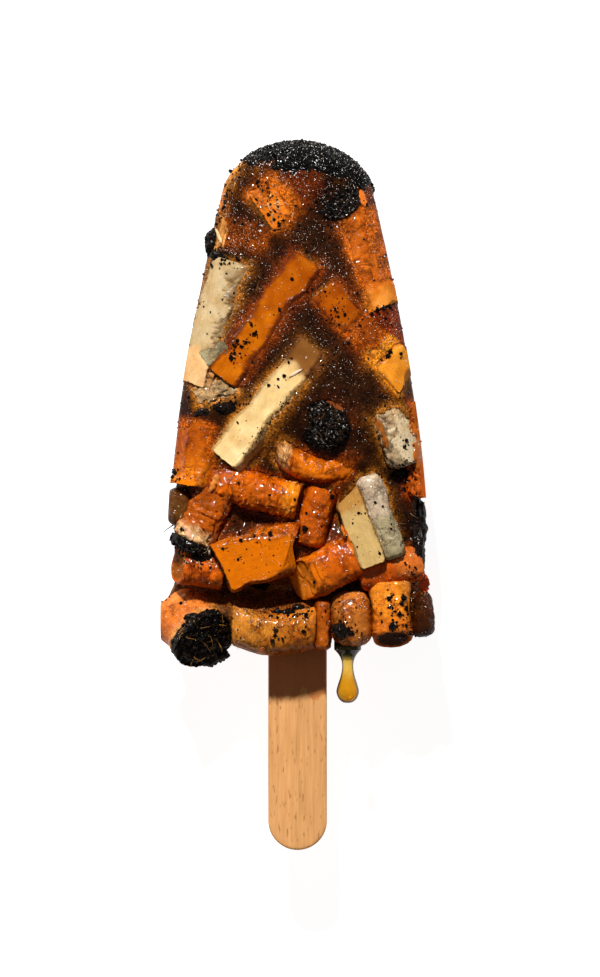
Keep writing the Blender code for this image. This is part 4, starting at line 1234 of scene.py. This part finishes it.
def make_flakes(tree, looks):
    """Torn bits of paper that lie draped over what is under them."""
    flakes = Heap()
    for number, ((px, py), width, length, turn, rise, colour) in enumerate(FLAKES):
        turn = math.radians(turn)
        cx, cy = from_pixel(px, py)
        top, level = [], None
        for row in range(FLAKE_ALONG + 1):
            for column in range(FLAKE_ACROSS + 1):
                u, v = column / FLAKE_ACROSS - 0.5, row / FLAKE_ALONG - 0.5
                torn = 1.0 + 0.5 * noise.noise((u * 2.0, v * 6.0, number * 3.0))
                x = u * width * torn * (1.0 - 0.9 * abs(2 * v) ** 4)
                y = v * length + 0.3 * noise.noise((u * 4.0, v * 2.0, number * 5.0))
                wx = cx + x * math.cos(turn) + y * math.sin(turn)
                wy = cy - x * math.sin(turn) + y * math.cos(turn)
                hit, _ = seen_from_front(tree, wx, wy)
                if hit is not None and (level is None or abs(hit.z - level) < 2.0):
                    level = hit.z
                elif level is None:
                    level = 15.0
                arch = rise * (1.0 - (2 * u) ** 2) * (0.7 + 0.6 * bumps(u, v, 0.0, 5.0, number))
                top.append((wx, wy, level + 0.06 + arch))
        top = np.array(top)
        low = top - np.array((0.0, 0.0, FLAKE_THICKNESS))
        across, count = FLAKE_ACROSS + 1, len(top)
        faces = []
        for row in range(FLAKE_ALONG):
            for column in range(FLAKE_ACROSS):
                a = row * across + column
                for one, two, three in ((a, a + 1, a + across + 1), (a, a + across + 1, a + across)):
                    faces += [(one, two, three), (count + one, count + three, count + two)]
        rim = list(range(FLAKE_ACROSS))
        rim += [FLAKE_ACROSS + across * k for k in range(FLAKE_ALONG)]
        rim += [across * FLAKE_ALONG + k for k in range(FLAKE_ACROSS, 0, -1)]
        rim += [across * k for k in range(FLAKE_ALONG, 0, -1)]
        for k, one in enumerate(rim):
            two = rim[(k + 1) % len(rim)]
            faces += [(one, count + one, count + two), (one, count + two, two)]
        flakes.add(np.vstack((top, low)), np.array(faces), colour)
    flakes.object("paper_flakes", looks[CORK], CORK, smooth=True)


# Materials

class Value:
    """What a node gives, with which sums and products are written as usual."""

    def __init__(self, look, socket):
        self.look = look
        self.socket = socket

    def __add__(self, other):
        return self.look.maths("ADD", self, other)

    def __mul__(self, other):
        return self.look.maths("MULTIPLY", self, other)

    def __sub__(self, other):
        return self.look.maths("SUBTRACT", self, other)

    def __rsub__(self, other):
        return self.look.maths("SUBTRACT", other, self)


class Look:
    """A material whose shader is built step by step. Lengths in its textures are in millimetres."""

    def __init__(self, name):
        self.material = bpy.data.materials.new(name)
        self.material.use_nodes = True
        self.tree = self.material.node_tree
        self.shader = self.tree.nodes["Principled BSDF"]

    def feed(self, socket, value):
        if isinstance(value, Value):
            self.tree.links.new(value.socket, socket)
        else:
            socket.default_value = value

    def node(self, kind, output, inputs=(), **settings):
        """A new node's output. Its inputs are fed by name or number."""
        made = self.tree.nodes.new("ShaderNode" + kind)
        for name, value in settings.items():
            setattr(made, name, value)
        for name, value in dict(inputs).items():
            self.feed(made.inputs[name], value)
        return Value(self, made.outputs[output])

    def attribute(self, name, output="Fac"):
        return self.node("Attribute", output, attribute_name=name)

    def place(self, stretch=(1.0, 1.0, 1.0)):
        """The place on the object, in millimetres, squeezed along an axis by stretch."""
        return self.scaled(self.node("TexCoord", "Object"), [share / MM for share in stretch])

    def scaled(self, vector, by):
        return self.node("VectorMath", "Vector", {0: vector, 1: by}, operation="MULTIPLY")

    def noise(self, where, scale, detail=2.0, distortion=0.0, output="Fac"):
        return self.node("TexNoise", output, {"Vector": where, "Scale": scale, "Detail": detail,
                                              "Distortion": distortion})

    def cells(self, where, scale, feature="F1"):
        return self.node("TexVoronoi", "Distance", {"Vector": where, "Scale": scale},
                         feature=feature)

    def maths(self, operation, first, second=0.0):
        return self.node("Math", "Value", {0: first, 1: second}, operation=operation)

    def span(self, value, low, high, to_low=0.0, to_high=1.0):
        return self.node("MapRange", "Result",
                         {"Value": value, "From Min": low, "From Max": high, "To Min": to_low,
                          "To Max": to_high}, interpolation_type="SMOOTHSTEP")

    def mix(self, share, first, second, blend="MIX"):
        """Inputs 6 and 7 and output 2 are the node's colours."""
        return self.node("Mix", 2, {"Factor": share, 6: first, 7: second}, data_type="RGBA",
                         blend_type=blend)

    def times(self, colour, share):
        """A colour made darker or lighter by a share."""
        grey = self.node("CombineColor", "Color", {"Red": share, "Green": share, "Blue": share})
        return self.mix(1.0, colour, grey, "MULTIPLY")

    def line(self, value, width):
        """0 where a noise crosses its middle, 1 away from there: thin winding lines."""
        return self.span(self.maths("ABSOLUTE", value - 0.5), 0.0, width)

    def stirred(self, where, scale, by):
        """Places moved about by a noise."""
        noisy = self.noise(where, scale, 1.0, output="Color")
        return self.node("VectorMath", "Vector", {0: noisy, 1: (by, by, by), 2: where},
                         operation="MULTIPLY_ADD")

    def pimples(self, where, scale, height):
        """Small round bumps."""
        return self.span(self.cells(where, scale), 0.0, 0.2, 1.0, 0.0) * height

    def facing(self):
        """0 where the surface is seen straight on, near 1 where it is seen from its side."""
        return self.node("LayerWeight", "Facing", {"Blend": 0.5})

    def away_from_rim(self, weight, rim):
        """A coat's weight, lower where the surface is seen from its side."""
        return self.span(self.facing(), 0.18, 0.5, 1.0, rim) * weight

    def relief(self, height, depth, share=1.0):
        """Bumps of a depth in millimetres."""
        return self.node("Bump", "Normal", {"Height": height, "Distance": depth * MM,
                                            "Strength": share})

    def set(self, **values):
        for name, value in values.items():
            self.feed(self.shader.inputs[name.replace("_", " ")], value)
        return self.material


def rgba(colour):
    return (*linear(colour), 1.0)


def paper_look(name, fleck, fleck_level, crease_shade, gloss, glint, stain_and_shade):
    """Wet paper: mottled, flecked, creased where it isn't pressed flat, with painted shade in the
    creases, and shiny there.
    """
    look = Look(name)
    pressed = look.attribute("pressed")
    paper = look.attribute("paper", "Vector")
    stretched = look.scaled(paper, (1.0, 0.55, 1.0))
    fibre = look.noise(look.scaled(paper, (0.5, 2.6, 1.0)), 1.6, 3.0)
    wrinkle = look.noise(stretched, 1.25, 3.0, 0.9)
    small = look.noise(stretched, 2.9, 2.0, 0.5)
    folds = look.cells(look.stirred(stretched, 0.8, 1.5), 0.55, "DISTANCE_TO_EDGE")
    free = (1.0 - pressed) * look.span(look.noise(paper, 0.28), 0.38, 0.62, 0.25, 1.0)

    # Painted crease shade: dark winding lines along the wrinkles and along the edges of the folds,
    # where the paper isn't pressed flat.
    shut = (1.0 - look.line(wrinkle, 0.030) * look.line(small, 0.020)) * (free * 0.92 + 0.08)
    mottle = look.span(look.noise(paper, 0.8, 3.0), 0.32, 0.68, -1.0, 1.0) * (free * 0.26 + 0.07)
    creased = look.span(folds, 0.0, 0.07, 1.0, 0.0) * free
    shade = (1.0 - shut * crease_shade) * (mottle + 1.0) * (1.0 - creased * 0.6)
    shade *= look.span(fibre, 0.3, 0.7, 0.93, 1.06)
    colour = look.times(look.attribute("tint", "Color"), shade)

    film = look.span(look.noise(look.stirred(paper, 0.6, 1.6), 0.55, 3.0, 0.8), 0.47, 0.58)
    stained = look.mix(1.0, colour, rgba(stain_and_shade), "MULTIPLY")
    colour = look.mix(film * free * 0.62, colour, stained)
    cloud = look.span(look.noise(paper, 0.35), 0.5, 0.7)
    flecks = look.span(look.noise(paper, 3.4, 1.0), fleck_level, fleck_level + 0.05)
    colour = look.mix(flecks * (cloud * 0.5 + 0.35), colour, rgba(fleck))

    height = (wrinkle * 0.8 + small * 0.12 + folds * 1.3) * free + fibre * 0.03
    bead = look.noise(stretched, 1.25, 0.5, 0.9) + folds * 0.5
    bead += look.pimples(look.stirred(stretched, 1.1, 1.2), 1.5, 0.2)
    coat = look.away_from_rim(look.span(pressed, 0.0, 1.0, 0.72, 0.02), 0.12)
    return look.set(Base_Color=colour, Roughness=look.span(free, 0.0, 1.0, 0.8, gloss),
                    Normal=look.relief(height, 0.34, 0.6), Coat_Weight=coat, Coat_IOR=1.4,
                    Coat_Roughness=0.05, Coat_Normal=look.relief(bead * free, glint),
                    Specular_IOR_Level=0.02)


def ice_look():
    """Dark frozen liquid: glossy, with wrinkles and glints over the paper that shows through."""
    look = Look("dark_ice_look")
    near = look.attribute("near")
    where = look.place()
    wrinkle = look.noise(where, 1.05, 3.0, 1.1)
    small = look.noise(where, 2.8, 2.0, 0.6)
    shade = look.line(wrinkle, 0.040) * 0.45 + 0.55
    shade *= look.span(look.noise(where, 0.42, 3.0, 0.4), 0.3, 0.7, 0.60, 1.35)
    shade *= look.span(small, 0.34, 0.66, 0.45, 1.50)
    shade *= look.span(look.noise(where, 5.0, 3.0), 0.36, 0.62, 0.55, 1.4)
    height = (wrinkle + small * 0.5) * (near * 0.6 + 0.10)
    bead = look.noise(where, 1.0, 1.0, 0.8) + look.pimples(where, 1.4, 0.25)
    glints = look.relief(bead * look.span(near, 0.1, 0.7, 0.6, 1.0), 0.28)
    return look.set(Base_Color=look.times(look.attribute("tint", "Color"), shade), Roughness=0.5,
                    Normal=look.relief(height, 0.34, 0.8), Coat_IOR=1.33, Coat_Normal=glints,
                    Coat_Weight=look.away_from_rim(0.55, 0.1), Coat_Roughness=0.05,
                    Specular_IOR_Level=0.01)


def char_look(name, dark, light, gloss, depth):
    """Burnt tobacco and ash: black, grainy, here and there a wet glint."""
    look = Look(name)
    where = look.place()
    grain = look.noise(where, 2.2, 4.0)
    colour = look.mix(look.span(grain, 0.45, 0.75), rgba(dark), rgba(light))
    normal = look.relief(grain + look.cells(where, 2.4) * 0.8, depth, 0.9)
    return look.set(Base_Color=colour, Roughness=gloss, Normal=normal, Coat_Weight=0.2,
                    Coat_Roughness=0.12, Specular_IOR_Level=0.04)


def beech_look():
    """Pale beech with short dark rays and fine grain, brown where it leaves the ice; the brown band's
    wavy edge lies just past the cast shadow's edge, so it is in part a painted shadow.
    """
    look = Look("beech_look")
    grain = look.noise(look.place((1.0, 0.045, 1.0)), 1.9, 4.0, 0.25)
    streak = look.noise(look.place((1.0, 0.02, 1.0)), 0.55, 3.0, 0.2)
    rays = look.noise(look.place((1.0, 0.20, 1.0)), 2.7, 1.0)
    colour = look.mix(look.span(grain, 0.3, 0.7), rgba((204, 144, 84)), rgba((220, 160, 98)))
    colour = look.times(colour, look.span(streak, 0.3, 0.7, 0.94, 1.05))
    colour = look.mix(look.span(rays, 0.64, 0.72, 0.0, 0.62), colour, rgba((150, 88, 44)))
    # A stained band with a wavy edge, set to reach just past the ice's cast shadow: real staining, and
    # at its edge painted shadow.
    where = look.place()
    wave = look.noise(look.scaled(where, (1.0, 0.25, 0.0)), 0.45, 3.0)
    along = look.node("SeparateXYZ", "Y", {"Vector": where})
    soak_stain_and_shadow_edge = look.span(along + wave * -9.0, -38.9, -38.3)
    colour = look.mix(soak_stain_and_shadow_edge * 0.8, colour, rgba((190, 112, 56)))
    return look.set(Base_Color=colour, Roughness=look.span(soak_stain_and_shadow_edge, 0.0, 1.0, 0.62, 0.3),
                    Normal=look.relief(grain + rays * -0.5, 0.06, 0.6), Specular_IOR_Level=0.3)


def melt_look():
    """Clear amber melt, with a painted dark rim where it is seen from the side and a slightly lighter
    middle, painted light.
    """
    look = Look("amber_melt_look")
    swirl = look.span(look.noise(look.place(), 0.5), 0.3, 0.7, 0.92, 1.06)
    colour = look.times(look.attribute("tint", "Color"), swirl)
    # Painted shade and light: darker towards the rim as seen by the camera, a little lighter where seen
    # straight on.
    colour = look.times(colour, look.span(look.facing(), 0.22, 0.62, 1.12, 0.06))
    return look.set(Base_Color=colour, Roughness=0.04, IOR=1.33, Transmission_Weight=0.6)


# White specks of frost and painted glints.
def frost_and_glint_look():
    look = Look("frost_and_glint_look")
    cloud = look.noise(look.place(), 0.6, 1.0)
    colour = look.mix(look.span(cloud, 0.35, 0.65), rgba((236, 214, 196)), rgba((255, 250, 244)))
    return look.set(Base_Color=colour, Roughness=0.35, Specular_IOR_Level=0.6)


def floor_look():
    look = Look("floor_look")
    cloud = look.noise(look.place(), 0.01)
    colour = look.mix(cloud, rgba((168, 167, 166)), rgba((174, 173, 172)))
    return look.set(Base_Color=colour, Roughness=0.9, Specular_IOR_Level=0.1,
                    Emission_Color=(1.0, 1.0, 1.0, 1.0), Emission_Strength=0.92)


def make_looks():
    return {
        # The third number is how dark the painted crease shade is.
        CORK: paper_look("cork_paper_look", (74, 28, 4), 0.66, 0.60, 0.30, 0.30, (170, 120, 40)),
        CREAM: paper_look("cream_paper_look", (96, 62, 26), 0.69, 0.50, 0.36, 0.34, (226, 196, 160)),
        GREY: paper_look("grey_paper_look", (84, 72, 48), 0.60, 0.62, 0.26, 0.50, (200, 180, 160)),
        BROWN: paper_look("wet_brown_paper_look", (44, 20, 6), 0.64, 0.5, 0.2, 0.30, (190, 150, 100)),
        "burnt_end": char_look("burnt_end_look", (15, 9, 6), (58, 39, 26), 0.45, 0.6),
        "ash": char_look("ash_look", (6, 6, 6), (24, 22, 20), 0.6, 0.4),
        "dark_ice": ice_look(),
        "beech": beech_look(),
        "amber_melt": melt_look(),
        # The frost look also paints the glints on the paper.
        "frost": frost_and_glint_look(),
    }


# Floor, light and camera

KEY_PLACE, KEY_AIM = Vector((-0.19, 0.92, 0.89)), Vector((0.0, 0.0, 0.012))


def make_stage():
    bpy.ops.mesh.primitive_plane_add(size=2.4, location=(0, 0, 0))
    floor = bpy.context.object
    floor.name = "floor"
    floor.data.materials.append(floor_look())

    light = bpy.data.lights.new("key", "AREA")
    light.shape, light.size, light.energy = "DISK", 0.12, 26.0
    key = add_object("key", light)
    key.location = KEY_PLACE
    key.rotation_euler = (KEY_AIM - KEY_PLACE).to_track_quat("-Z", "Y").to_euler()
    world = bpy.data.worlds.new("studio")
    bpy.context.scene.world = world
    world.use_nodes = True
    sky = world.node_tree.nodes["Background"].inputs
    sky["Color"].default_value = (1.0, 0.98, 0.95, 1.0)
    sky["Strength"].default_value = 0.15


def make_camera():
    camera = bpy.data.cameras.new("camera")
    camera.sensor_fit, camera.sensor_height, camera.lens = "VERTICAL", 24.0, 144.9
    camera.clip_start, camera.clip_end = 0.05, 20.0
    obj = add_object("camera", camera)
    obj.location = (0.00042, 0.00109, 1.018)
    bpy.context.scene.camera = obj


def main():
    bpy.context.scene.view_settings.view_transform = "Standard"
    looks = make_looks()
    front = make_butts(FRONT_BUTTS, False, looks)
    back = make_butts(BACK_BUTTS, True, looks)
    butts = front + back
    ice = make_ice(butts, looks)
    cap = make_ash_cap(looks)
    pieces = [(points, faces) for _, points, faces, _ in butts] + [ice, cap]
    kinds = ["ember" if "_ember_" in obj.name else "paper" for obj, _, _, _ in butts]
    kinds += ["ice", "ash"]
    tree, owners = joined_tree(pieces)
    make_ash_crumbs(tree, owners, kinds, looks)
    make_frost_and_glints(tree, owners, kinds, looks)
    make_stick(looks)
    make_drip(looks)
    make_threads(tree, looks)
    make_flakes(tree, looks)
    make_stage()
    make_camera()


main()
